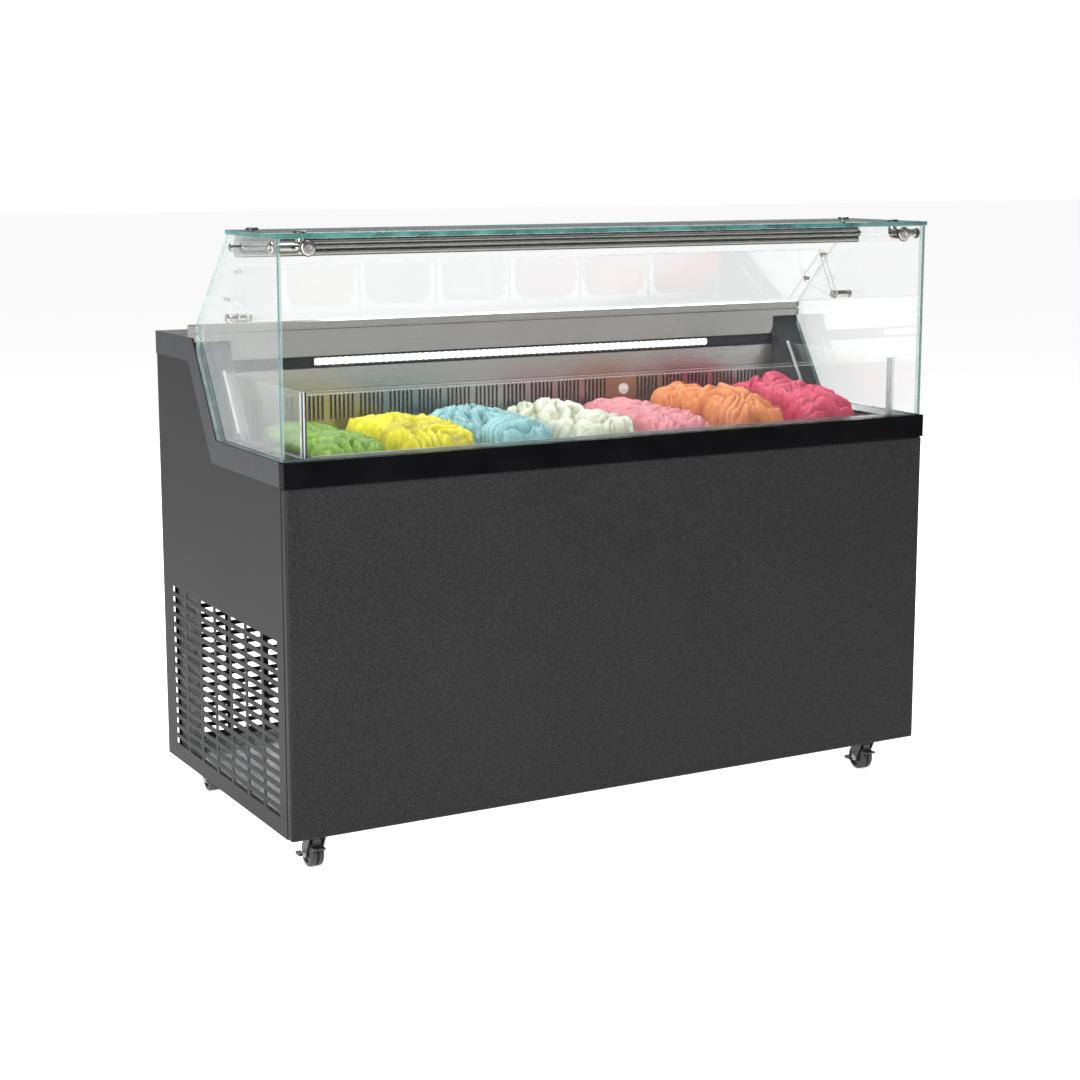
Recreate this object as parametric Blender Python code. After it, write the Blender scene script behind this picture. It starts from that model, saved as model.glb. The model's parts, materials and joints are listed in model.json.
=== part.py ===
"""Ice cream dipping cabinet on castors, modelled as separate closed solids.

Axes: +Z up, the front faces -Y, and +X is to the right as seen from the front.
The origin is on the floor, at the middle of the cabinet's footprint. Metres.
"""
import math

import bmesh
import bpy
from mathutils import Matrix, Vector

# ---- Driving dimensions --------------------------------------------------------------------
GAP = 0.0003                 # clearance kept between pieces that touch
BODY_WIDTH = 1.350
HALF_WIDTH = BODY_WIDTH / 2
FRONT_Y = -0.315             # outer face of the front panel
REAR_Y = 0.317               # rear edge of the side panels
TRIM_PROUD = 0.0018          # how far the trim stands out from the panels
BODY_BASE_Z = 0.075          # underside of the body, above the castors

# Stepped top outline: low ledge at the front, a slope, the high worktop at the rear.
LEDGE_Z = 0.732
WORKTOP_Z = 0.907
SLOPE_FOOT_Y = 0.003
SLOPE_HEAD_Y = 0.115
TRIM_BAND = 0.043            # height of the dark band that follows the outline
CAP_THICKNESS = 0.0057       # deck, cheek plates and gaskets that cap the walls

PANEL_THICKNESS = 0.018
FRONT_PANEL_INNER_Y = -0.295
REAR_PANEL_INNER_Y = 0.290
REAR_PANEL_OUTER_Y = 0.308
WALL_INNER_X = HALF_WIDTH - PANEL_THICKNESS - GAP
GASKET_INNER_X = 0.6650
GASKET_FRONT_INNER_Y = -0.2910

# Insulated tank and the air duct behind it.
BOX_BASE_Z = 0.500           # underside of the insulation, top of the machine compartment
BOX_FLOOR_Z = 0.563          # inner floor of the insulation
WELL_HALF_WIDTH = 0.613      # inner half width of the insulated walls
WELL_FRONT_Y = -0.2745
WELL_REAR_Y = 0.255
BACK_WALL_Y = 0.099          # front face of grille, back wall and hood

# Service hood over the back wall.
HOOD_BASE_Z = 0.865
HOOD_TOP_Z = 0.930
HOOD_REAR_Y = 0.142

# Pans.
PAN_COUNT = 7
PAN_PITCH = 0.170
PAN_WIDTH = 0.165
PAN_LENGTH = 0.360
PAN_HEIGHT = 0.120
PAN_SHEET = 0.0015
PAN_CENTRE_Y = -0.086
PAN_LEDGE_Z = 0.7135         # face that the pan rims rest on
RIM_THICKNESS = 0.002

# Glass.
GLASS = 0.008
GLASS_FRONT_Y = -0.307
TOP_GLASS_Z = 1.110
TOP_GLASS_OVERHANG = 0.004
TOP_GLASS_REAR_Y = -0.075
SIDE_GLASS_REAR_Y = 0.097
SIDE_GLASS_SHOULDER_Z = 0.933
SIDE_GLASS_TOP_REAR_Y = -0.080

# Fastener sizes shared by the glass fittings.
STUD_RADIUS = 0.004
HOLE_RADIUS = 0.0052
CAP_RADIUS = 0.011
CAP_DEPTH = 0.0035
CLAMP_DISC_RADIUS = 0.014
CLAMP_X = 0.622
CLAMP_Y = -0.279
CLAMP_Z = 1.086
CLAMP_TOP_Y = -0.272
PROFILE_BOLT_Y = -0.096
PROFILE_BOLT_Z = 1.080
PROFILE_STUD_X = 0.637
PIVOT_Y = -0.070
PIVOT_Z = 0.956
PIVOT_CAP_RADIUS = 0.0085

# Clear rear flap.
FLAP_SUM = 1.022             # the flap lies on the plane y + z = FLAP_SUM at rest
FLAP_TOP_Y = -0.025
FLAP_LOW_Y = 0.085
FLAP_THICKNESS = 0.005
FLAP_ARM_X = 0.642

# Castors.
CASTOR_X = 0.605
CASTOR_Y = 0.252
CASTOR_TRAIL = 0.014
WHEEL_RADIUS = 0.025
WHEEL_HALF_WIDTH = 0.0125
PAD_THICKNESS = 0.004

SLOPE_RISE = (WORKTOP_Z - LEDGE_Z) / (SLOPE_HEAD_Y - SLOPE_FOOT_Y)
SLOPE_LENGTH = math.hypot(WORKTOP_Z - LEDGE_Z, SLOPE_HEAD_Y - SLOPE_FOOT_Y)
SLOPE_SIDE_STEP = SLOPE_LENGTH / (WORKTOP_Z - LEDGE_Z)
CORNER_SHIFT = SLOPE_SIDE_STEP - 1 / SLOPE_RISE


# ---- Helpers -------------------------------------------------------------------------------
def clear_scene():
    """Remove every object that the file opened with."""
    for obj in list(bpy.data.objects):
        bpy.data.objects.remove(obj, do_unlink=True)


def material(name, colour, roughness, metallic=0.0, alpha=1.0, emission=0.0):
    """Return the Principled material called name, making it on first use."""
    found = bpy.data.materials.get(name)
    if found is not None:
        return found
    made = bpy.data.materials.new(name)
    made.use_nodes = True
    shader = made.node_tree.nodes["Principled BSDF"]
    shader.inputs["Base Color"].default_value = (*colour, 1.0)
    shader.inputs["Roughness"].default_value = roughness
    shader.inputs["Metallic"].default_value = metallic
    shader.inputs["Alpha"].default_value = alpha
    if emission:
        shader.inputs["Emission Color"].default_value = (*colour, 1.0)
        shader.inputs["Emission Strength"].default_value = emission
    return made


def body_paint():
    return material("body_paint", (0.075, 0.075, 0.078), 0.55)


def trim_satin():
    return material("trim_satin", (0.055, 0.057, 0.06), 0.42)


def black_gloss():
    return material("black_gloss", (0.008, 0.008, 0.009), 0.12)


def black_rubber():
    return material("black_rubber", (0.012, 0.012, 0.012), 0.7)


def dark_plastic():
    return material("dark_plastic", (0.03, 0.033, 0.035), 0.45)


def stainless():
    return material("stainless", (0.62, 0.62, 0.60), 0.28, 1.0)


def galvanised():
    return material("galvanised", (0.45, 0.46, 0.47), 0.5, 1.0)


def aluminium():
    return material("aluminium", (0.58, 0.58, 0.56), 0.32, 1.0)


def chrome():
    return material("chrome", (0.75, 0.75, 0.76), 0.12, 1.0)


def machine_black():
    return material("machine_black", (0.02, 0.02, 0.022), 0.4)


def clear_glass():
    return material("clear_glass", (0.86, 0.94, 0.92), 0.03, alpha=0.25)


def clear_acrylic():
    return material("clear_acrylic", (0.92, 0.94, 0.94), 0.06, alpha=0.3)


def smooth(obj, angle_degrees=35.0):
    """Shade round pieces smooth and keep edges sharper than the angle."""
    obj.data.shade_smooth()
    obj.data.set_sharp_from_angle(angle=math.radians(angle_degrees))


def finish_object(name, mesh_builder, finish, origin=(0.0, 0.0, 0.0)):
    """Turn a bmesh into a linked object whose origin sits at the given point."""
    bmesh.ops.recalc_face_normals(mesh_builder, faces=mesh_builder.faces)
    bmesh.ops.translate(mesh_builder, vec=-Vector(origin), verts=mesh_builder.verts)
    mesh = bpy.data.meshes.new(name)
    mesh_builder.to_mesh(mesh)
    mesh_builder.free()
    if finish is not None:
        mesh.materials.append(finish)
    obj = bpy.data.objects.new(name, mesh)
    obj.location = origin
    bpy.context.scene.collection.objects.link(obj)
    return obj


def add_box(mesh_builder, low, high):
    """Add a closed box between two corners."""
    low = Vector(low)
    high = Vector(high)
    size = high - low
    place = Matrix.Translation((low + high) / 2) @ Matrix.Diagonal((*size, 1.0))
    bmesh.ops.create_cube(mesh_builder, size=1.0, matrix=place)


def add_prism(mesh_builder, outline, x_low, x_high):
    """Add a closed prism: an outline of (y, z) points run along X."""
    near = [mesh_builder.verts.new((x_low, y, z)) for y, z in outline]
    far = [mesh_builder.verts.new((x_high, y, z)) for y, z in outline]
    mesh_builder.faces.new(near)
    mesh_builder.faces.new(reversed(far))
    for index in range(len(outline)):
        after = (index + 1) % len(outline)
        mesh_builder.faces.new((near[index], far[index], far[after], near[after]))


def add_cylinder(mesh_builder, start, end, radius, sides=14, end_radius=None):
    """Add a closed cylinder or cone between two points."""
    start = Vector(start)
    end = Vector(end)
    run = end - start
    turn = Vector((0, 0, 1)).rotation_difference(run.normalized()).to_matrix().to_4x4()
    place = Matrix.Translation((start + end) / 2) @ turn
    bmesh.ops.create_cone(
        mesh_builder,
        cap_ends=True,
        segments=sides,
        radius1=radius,
        radius2=radius if end_radius is None else end_radius,
        depth=run.length,
        matrix=place,
    )


def add_turned(mesh_builder, outline, centre, axis, sides):
    """Add a closed ring turned about an axis through centre; outline is (radius, along)."""
    centre = Vector(centre)
    turn = Vector((0, 0, 1)).rotation_difference(Vector(axis)).to_matrix()
    rings = []
    for step in range(sides):
        angle = 2 * math.pi * step / sides
        spoke = Vector((math.cos(angle), math.sin(angle), 0.0))
        ring = []
        for radius, along in outline:
            point = centre + turn @ (spoke * radius + Vector((0, 0, along)))
            ring.append(mesh_builder.verts.new(point))
        rings.append(ring)
    for step in range(sides):
        here = rings[step]
        after = rings[(step + 1) % sides]
        for index in range(len(outline)):
            other = (index + 1) % len(outline)
            mesh_builder.faces.new((here[index], after[index], after[other], here[other]))


def boxed(name, low, high, finish, origin=(0.0, 0.0, 0.0)):
    """Make an object that is one box."""
    mesh_builder = bmesh.new()
    add_box(mesh_builder, low, high)
    return finish_object(name, mesh_builder, finish, origin)


def prism(name, outline, x_low, x_high, finish):
    """Make an object that is one prism along X."""
    mesh_builder = bmesh.new()
    add_prism(mesh_builder, outline, x_low, x_high)
    return finish_object(name, mesh_builder, finish)


def combine(target, operation, operand):
    """Put a Boolean on target; the operand becomes a hidden guide."""
    operand.hide_render = True
    operand.display_type = "WIRE"
    step = target.modifiers.new(operation.lower(), "BOOLEAN")
    step.operation = operation
    step.solver = "EXACT"
    step.object = operand
    return target


def union(target, build, *arguments):
    """Unite target with the solid that build adds to a fresh bmesh."""
    mesh_builder = bmesh.new()
    build(mesh_builder, *arguments)
    return combine(target, "UNION", finish_object("guide_" + target.name, mesh_builder, None))


def cut(target, build, *arguments):
    """Cut target with the solid that build adds to a fresh bmesh."""
    mesh_builder = bmesh.new()
    build(mesh_builder, *arguments)
    return combine(target, "DIFFERENCE", finish_object("guide_" + target.name, mesh_builder, None))


def soften(obj, width, segments=2, angle_degrees=40.0):
    """Bevel the sharp edges of an object."""
    step = obj.modifiers.new("soft_edges", "BEVEL")
    step.width = width
    step.segments = segments
    step.limit_method = "ANGLE"
    step.angle_limit = math.radians(angle_degrees)
    return obj


def span(side, inner, outer):
    """Return low and high X of a piece between two distances from the middle."""
    return tuple(sorted((side * inner, side * outer)))


def slope_y(z, depth=0.0):
    """Return the Y of the sloped outline at height z, or of a line depth below it."""
    return SLOPE_FOOT_Y + (z - LEDGE_Z) / SLOPE_RISE + depth * SLOPE_SIDE_STEP


def stepped_line(depth, y_front, y_rear):
    """Return the stepped top outline, moved inwards by depth, from front to rear."""
    shift = depth * CORNER_SHIFT
    return [
        (y_front, LEDGE_Z - depth),
        (SLOPE_FOOT_Y + shift, LEDGE_Z - depth),
        (SLOPE_HEAD_Y + shift, WORKTOP_Z - depth),
        (y_rear, WORKTOP_Z - depth),
    ]


# ---- Slotted panels ------------------------------------------------------------------------
SLOT_LENGTH = 0.066
SLOT_HEIGHT = 0.011
SLOT_COLUMN_PITCH = 0.0778
SLOT_ROW_PITCH = 0.0201
SLOT_ROWS = 16
SLOT_BASE_Z = 0.107
SIDE_SLOT_COLUMNS = 7
SIDE_SLOT_START_Y = -0.265
REAR_SLOT_COLUMNS = 4
REAR_SLOT_START_X = 0.3222


def slot_rows():
    """Return the low Z of each slot row."""
    return [SLOT_BASE_Z + SLOT_ROW_PITCH * row for row in range(SLOT_ROWS)]


def add_side_slots(mesh_builder, side):
    """Add the cutters for a side panel's ventilation slots."""
    x_low, x_high = span(side, HALF_WIDTH - PANEL_THICKNESS - 0.01, HALF_WIDTH + 0.01)
    for column in range(SIDE_SLOT_COLUMNS):
        y_low = SIDE_SLOT_START_Y + SLOT_COLUMN_PITCH * column
        for z_low in slot_rows():
            low = (x_low, y_low, z_low)
            high = (x_high, y_low + SLOT_LENGTH, z_low + SLOT_HEIGHT)
            add_box(mesh_builder, low, high)


def add_rear_slots(mesh_builder):
    """Add the cutters for the slots at both ends of the rear grille."""
    for side in (-1, 1):
        for column in range(REAR_SLOT_COLUMNS):
            inner = REAR_SLOT_START_X + SLOT_COLUMN_PITCH * column
            x_low, x_high = span(side, inner, inner + SLOT_LENGTH)
            for z_low in slot_rows():
                low = (x_low, REAR_PANEL_INNER_Y, z_low)
                high = (x_high, REAR_PANEL_OUTER_Y + 0.01, z_low + SLOT_HEIGHT)
                add_box(mesh_builder, low, high)


# ---- Body ----------------------------------------------------------------------------------
POST_WIDTH = 0.030
POST_DEPTH = 0.045
RAIL = 0.020
TRAY_SHEET = 0.003
TRAY_WALL_TOP_Z = 0.098
TRAY_FRONT_Y = FRONT_PANEL_INNER_Y + 0.0005
TRAY_REAR_Y = REAR_PANEL_INNER_Y - 0.0005
TRAY_BASE_Z = BODY_BASE_Z + GAP
PAD_HALF = 0.032


def add_tray_pocket(mesh_builder):
    low = (-WALL_INNER_X + 0.002, TRAY_FRONT_Y + 0.002, TRAY_BASE_Z + TRAY_SHEET)
    high = (WALL_INNER_X - 0.002, TRAY_REAR_Y - 0.002, TRAY_WALL_TOP_Z + 0.01)
    add_box(mesh_builder, low, high)


def add_post(mesh_builder, side, end):
    x_low, x_high = span(side, WALL_INNER_X - POST_WIDTH, WALL_INNER_X)
    y_face = TRAY_REAR_Y if end > 0 else TRAY_FRONT_Y
    y_low, y_high = sorted((y_face, y_face - end * POST_DEPTH))
    top = BOX_BASE_Z - GAP
    add_box(mesh_builder, (x_low, y_low, TRAY_BASE_Z + 0.001), (x_high, y_high, top))


def add_side_rail(mesh_builder, side):
    x_low, x_high = span(side, WALL_INNER_X - RAIL, WALL_INNER_X)
    top = BOX_BASE_Z - GAP
    low = (x_low, TRAY_FRONT_Y + 0.005, top - RAIL)
    high = (x_high, TRAY_REAR_Y - 0.005, top)
    add_box(mesh_builder, low, high)


def add_cross_rail(mesh_builder, end):
    y_face = TRAY_REAR_Y if end > 0 else TRAY_FRONT_Y
    y_low, y_high = sorted((y_face - end * 0.001, y_face - end * RAIL))
    top = BOX_BASE_Z - GAP
    low = (-WALL_INNER_X + 0.005, y_low, top - RAIL + 0.001)
    high = (WALL_INNER_X - 0.005, y_high, top - 0.001)
    add_box(mesh_builder, low, high)


def add_castor_pad(mesh_builder, side, end):
    centre_x = side * CASTOR_X
    centre_y = end * CASTOR_Y
    low = (centre_x - PAD_HALF, centre_y - PAD_HALF, TRAY_BASE_Z - PAD_THICKNESS)
    high = (centre_x + PAD_HALF, centre_y + PAD_HALF, TRAY_BASE_Z + 0.001)
    add_box(mesh_builder, low, high)


def build_base_frame():
    """Floor tray with corner posts, top rails and the pads that carry the castors."""
    low = (-WALL_INNER_X, TRAY_FRONT_Y, TRAY_BASE_Z)
    high = (WALL_INNER_X, TRAY_REAR_Y, TRAY_WALL_TOP_Z)
    frame = boxed("base_frame", low, high, galvanised())
    cut(frame, add_tray_pocket)
    for side in (-1, 1):
        for end in (-1, 1):
            union(frame, add_post, side, end)
            union(frame, add_castor_pad, side, end)
        union(frame, add_side_rail, side)
    for end in (-1, 1):
        union(frame, add_cross_rail, end)


def build_front_panel():
    """Plain powder-coated front with softened corners."""
    low = (-HALF_WIDTH, FRONT_Y, BODY_BASE_Z)
    high = (HALF_WIDTH, FRONT_PANEL_INNER_Y, LEDGE_Z - TRIM_BAND - GAP)
    panel = boxed("front_panel", low, high, body_paint())
    soften(panel, 0.004)
    smooth(panel)


def build_side_panel(name, side):
    """Stepped side panel with its block of ventilation slots."""
    outline = stepped_line(CAP_THICKNESS + GAP, FRONT_PANEL_INNER_Y + GAP, REAR_Y)
    outline.append((REAR_Y, BODY_BASE_Z))
    outline.append((FRONT_PANEL_INNER_Y + GAP, BODY_BASE_Z))
    panel = prism(name, outline, *span(side, HALF_WIDTH - PANEL_THICKNESS, HALF_WIDTH), body_paint())
    cut(panel, add_side_slots, side)


def build_rear_panels():
    """Closed upper rear panel and the slotted grille of the machine compartment."""
    low = (-WALL_INNER_X, REAR_PANEL_INNER_Y, BOX_BASE_Z)
    high = (WALL_INNER_X, REAR_PANEL_OUTER_Y, WORKTOP_Z - CAP_THICKNESS - GAP)
    boxed("rear_panel", low, high, body_paint())
    low = (-WALL_INNER_X, REAR_PANEL_OUTER_Y - 0.006, BODY_BASE_Z + 0.001)
    high = (WALL_INNER_X, REAR_PANEL_OUTER_Y, BOX_BASE_Z - GAP)
    grille = boxed("rear_grille", low, high, body_paint())
    cut(grille, add_rear_slots)


def build_front_trim():
    """Gloss black bar under the front glass."""
    reach = HALF_WIDTH + TRIM_PROUD
    low = (-reach, -REAR_Y, LEDGE_Z - TRIM_BAND)
    high = (reach, FRONT_PANEL_INNER_Y, LEDGE_Z)
    trim = boxed("front_trim", low, high, black_gloss())
    soften(trim, 0.0015)
    smooth(trim)


def build_side_trim(name, side):
    """Dark band that follows the stepped outline on the outer face."""
    y_front = FRONT_PANEL_INNER_Y + GAP
    outer = stepped_line(0.0, y_front, REAR_Y)
    inner = stepped_line(TRIM_BAND, y_front, REAR_Y)
    outline = outer + inner[::-1]
    prism(name, outline, *span(side, HALF_WIDTH + GAP, HALF_WIDTH + TRIM_PROUD), trim_satin())


def add_gasket_side(mesh_builder, side):
    """Add the strip along one side: the low ledge, then up the slope."""
    y_front = FRONT_PANEL_INNER_Y + GAP
    top_z = WORKTOP_Z - CAP_THICKNESS - GAP
    corner = SLOPE_FOOT_Y + CAP_THICKNESS * CORNER_SHIFT
    outline = [
        (y_front, LEDGE_Z),
        (SLOPE_FOOT_Y, LEDGE_Z),
        (slope_y(top_z), top_z),
        (slope_y(top_z, CAP_THICKNESS), top_z),
        (corner, LEDGE_Z - CAP_THICKNESS),
        (y_front, LEDGE_Z - CAP_THICKNESS),
    ]
    add_prism(mesh_builder, outline, *span(side, GASKET_INNER_X, HALF_WIDTH - GAP))


def build_gasket():
    """Rubber seal that the panes stand on, from one slope round the front to the other."""
    low = (-GASKET_INNER_X - 0.001, FRONT_PANEL_INNER_Y + GAP, LEDGE_Z - CAP_THICKNESS)
    high = (GASKET_INNER_X + 0.001, GASKET_FRONT_INNER_Y, LEDGE_Z)
    gasket = boxed("glass_gasket", low, high, black_rubber())
    for side in (-1, 1):
        union(gasket, add_gasket_side, side)


# ---- Insulated tank ------------------------------------------------------------------------
LINER_HALF_WIDTH = 0.607
LINER_RIM_TOP_Z = 0.7258
LINER_FRONT_Y = -0.270
LINER_REAR_Y = 0.0985
LINER_SHEET = 0.002
LINER_FLOOR_Z = 0.5635
PAN_LEDGE_WIDTH = 0.013
DECK_INNER_X = 0.6045
DECK_INNER_Y = -0.2672
INSULATION_CAP_DEPTH = 0.012


def add_insulation_well(mesh_builder):
    low = (-WELL_HALF_WIDTH, WELL_FRONT_Y, BOX_FLOOR_Z)
    high = (WELL_HALF_WIDTH, WELL_REAR_Y, WORKTOP_Z + 0.05)
    add_box(mesh_builder, low, high)


def build_insulation():
    """Foam box with thick walls whose top follows the stepped outline."""
    y_front = FRONT_PANEL_INNER_Y + 0.0005
    y_rear = REAR_PANEL_INNER_Y - 0.0005
    outline = stepped_line(INSULATION_CAP_DEPTH, y_front, y_rear)
    outline.append((y_rear, BOX_BASE_Z))
    outline.append((y_front, BOX_BASE_Z))
    foam = material("foam", (0.72, 0.66, 0.5), 0.9)
    box = prism("tank_insulation", outline, -WALL_INNER_X + GAP, WALL_INNER_X - GAP, foam)
    cut(box, add_insulation_well)


def add_liner_rim(mesh_builder):
    low = (-LINER_HALF_WIDTH, LINER_FRONT_Y, PAN_LEDGE_Z - LINER_SHEET)
    high = (LINER_HALF_WIDTH, LINER_REAR_Y, LINER_RIM_TOP_Z)
    add_box(mesh_builder, low, high)


def add_liner_upper_hollow(mesh_builder):
    reach = LINER_HALF_WIDTH - LINER_SHEET
    low = (-reach, LINER_FRONT_Y + 0.0035, PAN_LEDGE_Z)
    high = (reach, LINER_REAR_Y - 0.0040, LINER_RIM_TOP_Z + 0.01)
    add_box(mesh_builder, low, high)


def add_liner_lower_hollow(mesh_builder):
    reach = LINER_HALF_WIDTH - 0.007
    low = (-reach, LINER_FRONT_Y + PAN_LEDGE_WIDTH + LINER_SHEET, LINER_FLOOR_Z + LINER_SHEET)
    high = (reach, LINER_REAR_Y - PAN_LEDGE_WIDTH - LINER_SHEET, PAN_LEDGE_Z + 0.005)
    add_box(mesh_builder, low, high)


def build_tank_liner():
    """Steel tub with a ledge all round that the pan rims rest on."""
    reach = LINER_HALF_WIDTH - 0.005
    low = (-reach, LINER_FRONT_Y + PAN_LEDGE_WIDTH, LINER_FLOOR_Z)
    high = (reach, LINER_REAR_Y - PAN_LEDGE_WIDTH, PAN_LEDGE_Z)
    liner = boxed("tank_liner", low, high, stainless())
    union(liner, add_liner_rim)
    cut(liner, add_liner_upper_hollow)
    cut(liner, add_liner_lower_hollow)


def add_deck_opening(mesh_builder):
    low = (-DECK_INNER_X, DECK_INNER_Y, LEDGE_Z - 0.02)
    high = (DECK_INNER_X, SLOPE_FOOT_Y + 0.02, LEDGE_Z + 0.02)
    add_box(mesh_builder, low, high)


def build_deck_frame():
    """Dark U-shaped deck around the front and sides of the tank opening."""
    reach = GASKET_INNER_X - GAP
    low = (-reach, GASKET_FRONT_INNER_Y + GAP, LEDGE_Z - CAP_THICKNESS)
    high = (reach, SLOPE_FOOT_Y - GAP, LEDGE_Z)
    deck = boxed("deck_frame", low, high, dark_plastic())
    cut(deck, add_deck_opening)


def add_cheek_skirt(mesh_builder, side):
    low_z = LEDGE_Z - CAP_THICKNESS
    high_z = 0.860
    outline = [
        (slope_y(low_z, 0.003), low_z),
        (slope_y(high_z, 0.003), high_z),
        (BACK_WALL_Y + 0.0005, high_z),
        (BACK_WALL_Y + 0.0005, low_z),
    ]
    add_prism(mesh_builder, outline, *span(side, 0.6085, 0.6125))


def build_cheek(name, side):
    """Dark plate that caps the sloped side wall, with a skirt on its inner face."""
    low_z = LEDGE_Z - CAP_THICKNESS
    top_z = WORKTOP_Z - CAP_THICKNESS - GAP
    outline = [
        (SLOPE_FOOT_Y + GAP, low_z),
        (SLOPE_FOOT_Y + GAP, LEDGE_Z + GAP),
        (slope_y(top_z), top_z),
        (slope_y(top_z, CAP_THICKNESS), top_z),
        (slope_y(low_z, CAP_THICKNESS), low_z),
    ]
    cheek = prism(name, outline, *span(side, 0.6085, GASKET_INNER_X - GAP), dark_plastic())
    union(cheek, add_cheek_skirt, side)


# ---- Back wall, grille, light and worktop --------------------------------------------------
GRILLE_BASE_Z = 0.7265
GRILLE_TOP_Z = 0.800
GRILLE_SLOT_LOW_Z = 0.744
GRILLE_SLOT_HIGH_Z = 0.790
GRILLE_SLOTS_PER_GROUP = 5
GRILLE_SLOT_WIDTH = 0.0056
GRILLE_SLOT_PITCH = 0.0107
GRILLE_GROUP_PITCH = 0.062
GRILLE_LEFT_GROUPS = 13
GRILLE_RIGHT_GROUPS = 5
GRILLE_LEFT_X = -0.594
GRILLE_RIGHT_X = 0.262
GRILLE_KNOB_X = 0.237
KNOB_RADIUS = 0.011
KNOB_DISC = 0.0022
KNOB_GRIP = 0.0016
BACK_SHEET = 0.002
CHANNEL_BASE_Z = 0.8428
CHANNEL_DEPTH = 0.010
LED_HALF_LENGTH = 0.441


def add_grille_slots(mesh_builder):
    starts = [GRILLE_LEFT_X + GRILLE_GROUP_PITCH * group for group in range(GRILLE_LEFT_GROUPS)]
    starts += [GRILLE_RIGHT_X + GRILLE_GROUP_PITCH * group for group in range(GRILLE_RIGHT_GROUPS)]
    for start in starts:
        for slot in range(GRILLE_SLOTS_PER_GROUP):
            x_low = start + GRILLE_SLOT_PITCH * slot
            low = (x_low, BACK_WALL_Y - 0.01, GRILLE_SLOT_LOW_Z)
            high = (x_low + GRILLE_SLOT_WIDTH, BACK_WALL_Y + 0.01, GRILLE_SLOT_HIGH_Z)
            add_box(mesh_builder, low, high)


def build_vent_grille():
    """Slotted cold-air grille along the foot of the back wall."""
    low = (-LINER_HALF_WIDTH, BACK_WALL_Y, GRILLE_BASE_Z)
    high = (LINER_HALF_WIDTH, BACK_WALL_Y + BACK_SHEET, GRILLE_TOP_Z)
    grille = boxed("vent_grille", low, high, stainless())
    cut(grille, add_grille_slots)


def build_grille_knob():
    """Quarter-turn knob that holds the grille, with a grip bar across its face."""
    centre_z = (GRILLE_SLOT_LOW_Z + GRILLE_SLOT_HIGH_Z) / 2
    mesh_builder = bmesh.new()
    face_y = BACK_WALL_Y - GAP
    disc_y = face_y - KNOB_DISC
    start = (GRILLE_KNOB_X, face_y, centre_z)
    add_cylinder(mesh_builder, start, (GRILLE_KNOB_X, disc_y, centre_z), KNOB_RADIUS, 14)
    finish = material("knob_white", (0.85, 0.85, 0.83), 0.35)
    knob = finish_object("grille_knob", mesh_builder, finish, (GRILLE_KNOB_X, BACK_WALL_Y, centre_z))
    low = (GRILLE_KNOB_X - 0.008, disc_y - KNOB_GRIP, centre_z - 0.002)
    high = (GRILLE_KNOB_X + 0.008, disc_y + 0.001, centre_z + 0.002)
    union(knob, add_box, low, high)
    smooth(knob)


def add_light_channel(mesh_builder):
    low = (-LINER_HALF_WIDTH, BACK_WALL_Y, CHANNEL_BASE_Z)
    high = (LINER_HALF_WIDTH, BACK_WALL_Y + CHANNEL_DEPTH, HOOD_BASE_Z - GAP)
    add_box(mesh_builder, low, high)


def add_channel_groove(mesh_builder):
    low = (-LINER_HALF_WIDTH - 0.01, BACK_WALL_Y - 0.01, CHANNEL_BASE_Z + 0.003)
    high = (LINER_HALF_WIDTH + 0.01, BACK_WALL_Y + CHANNEL_DEPTH - 0.002, HOOD_BASE_Z - 0.003)
    add_box(mesh_builder, low, high)


def build_back_wall():
    """Plain steel sheet above the grille, folded into a light channel along its top."""
    low = (-LINER_HALF_WIDTH, BACK_WALL_Y, GRILLE_TOP_Z + GAP)
    high = (LINER_HALF_WIDTH, BACK_WALL_Y + BACK_SHEET, CHANNEL_BASE_Z + 0.001)
    wall = boxed("back_wall", low, high, stainless())
    union(wall, add_light_channel)
    cut(wall, add_channel_groove)


def build_light():
    """Light bar inside the channel under the hood."""
    low = (-LED_HALF_LENGTH, BACK_WALL_Y + 0.001, CHANNEL_BASE_Z + 0.0045)
    high = (LED_HALF_LENGTH, BACK_WALL_Y + CHANNEL_DEPTH - 0.002 - GAP, HOOD_BASE_Z - 0.0045)
    bar = boxed("light_bar", low, high, material("light_bar", (1.0, 1.0, 1.0), 0.4, emission=3.0))
    soften(bar, 0.002)
    smooth(bar)


def add_hood_lower(mesh_builder):
    low = (-LINER_HALF_WIDTH, BACK_WALL_Y, HOOD_BASE_Z)
    high = (LINER_HALF_WIDTH, HOOD_REAR_Y, WORKTOP_Z - 0.001)
    add_box(mesh_builder, low, high)


def add_worktop_plate(mesh_builder):
    low = (-HALF_WIDTH + GAP, HOOD_REAR_Y - 0.01, WORKTOP_Z - CAP_THICKNESS)
    high = (HALF_WIDTH - GAP, REAR_Y, WORKTOP_Z)
    add_box(mesh_builder, low, high)


def add_hood_slit(mesh_builder):
    low = (-HALF_WIDTH - 0.01, BACK_WALL_Y - 0.01, HOOD_TOP_Z - 0.015)
    high = (HALF_WIDTH + 0.01, BACK_WALL_Y + 0.006, HOOD_TOP_Z - 0.011)
    add_box(mesh_builder, low, high)


def build_worktop():
    """Steel service worktop with a raised hood along its front edge."""
    low = (-HALF_WIDTH + GAP, BACK_WALL_Y, WORKTOP_Z - CAP_THICKNESS)
    high = (HALF_WIDTH - GAP, HOOD_REAR_Y, HOOD_TOP_Z)
    worktop = boxed("worktop", low, high, stainless())
    union(worktop, add_hood_lower)
    union(worktop, add_worktop_plate)
    cut(worktop, add_hood_slit)


# ---- Glass superstructure ------------------------------------------------------------------
def cut_round_hole(target, start, end):
    cut(target, add_cylinder, start, end, HOLE_RADIUS, 12)


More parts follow.
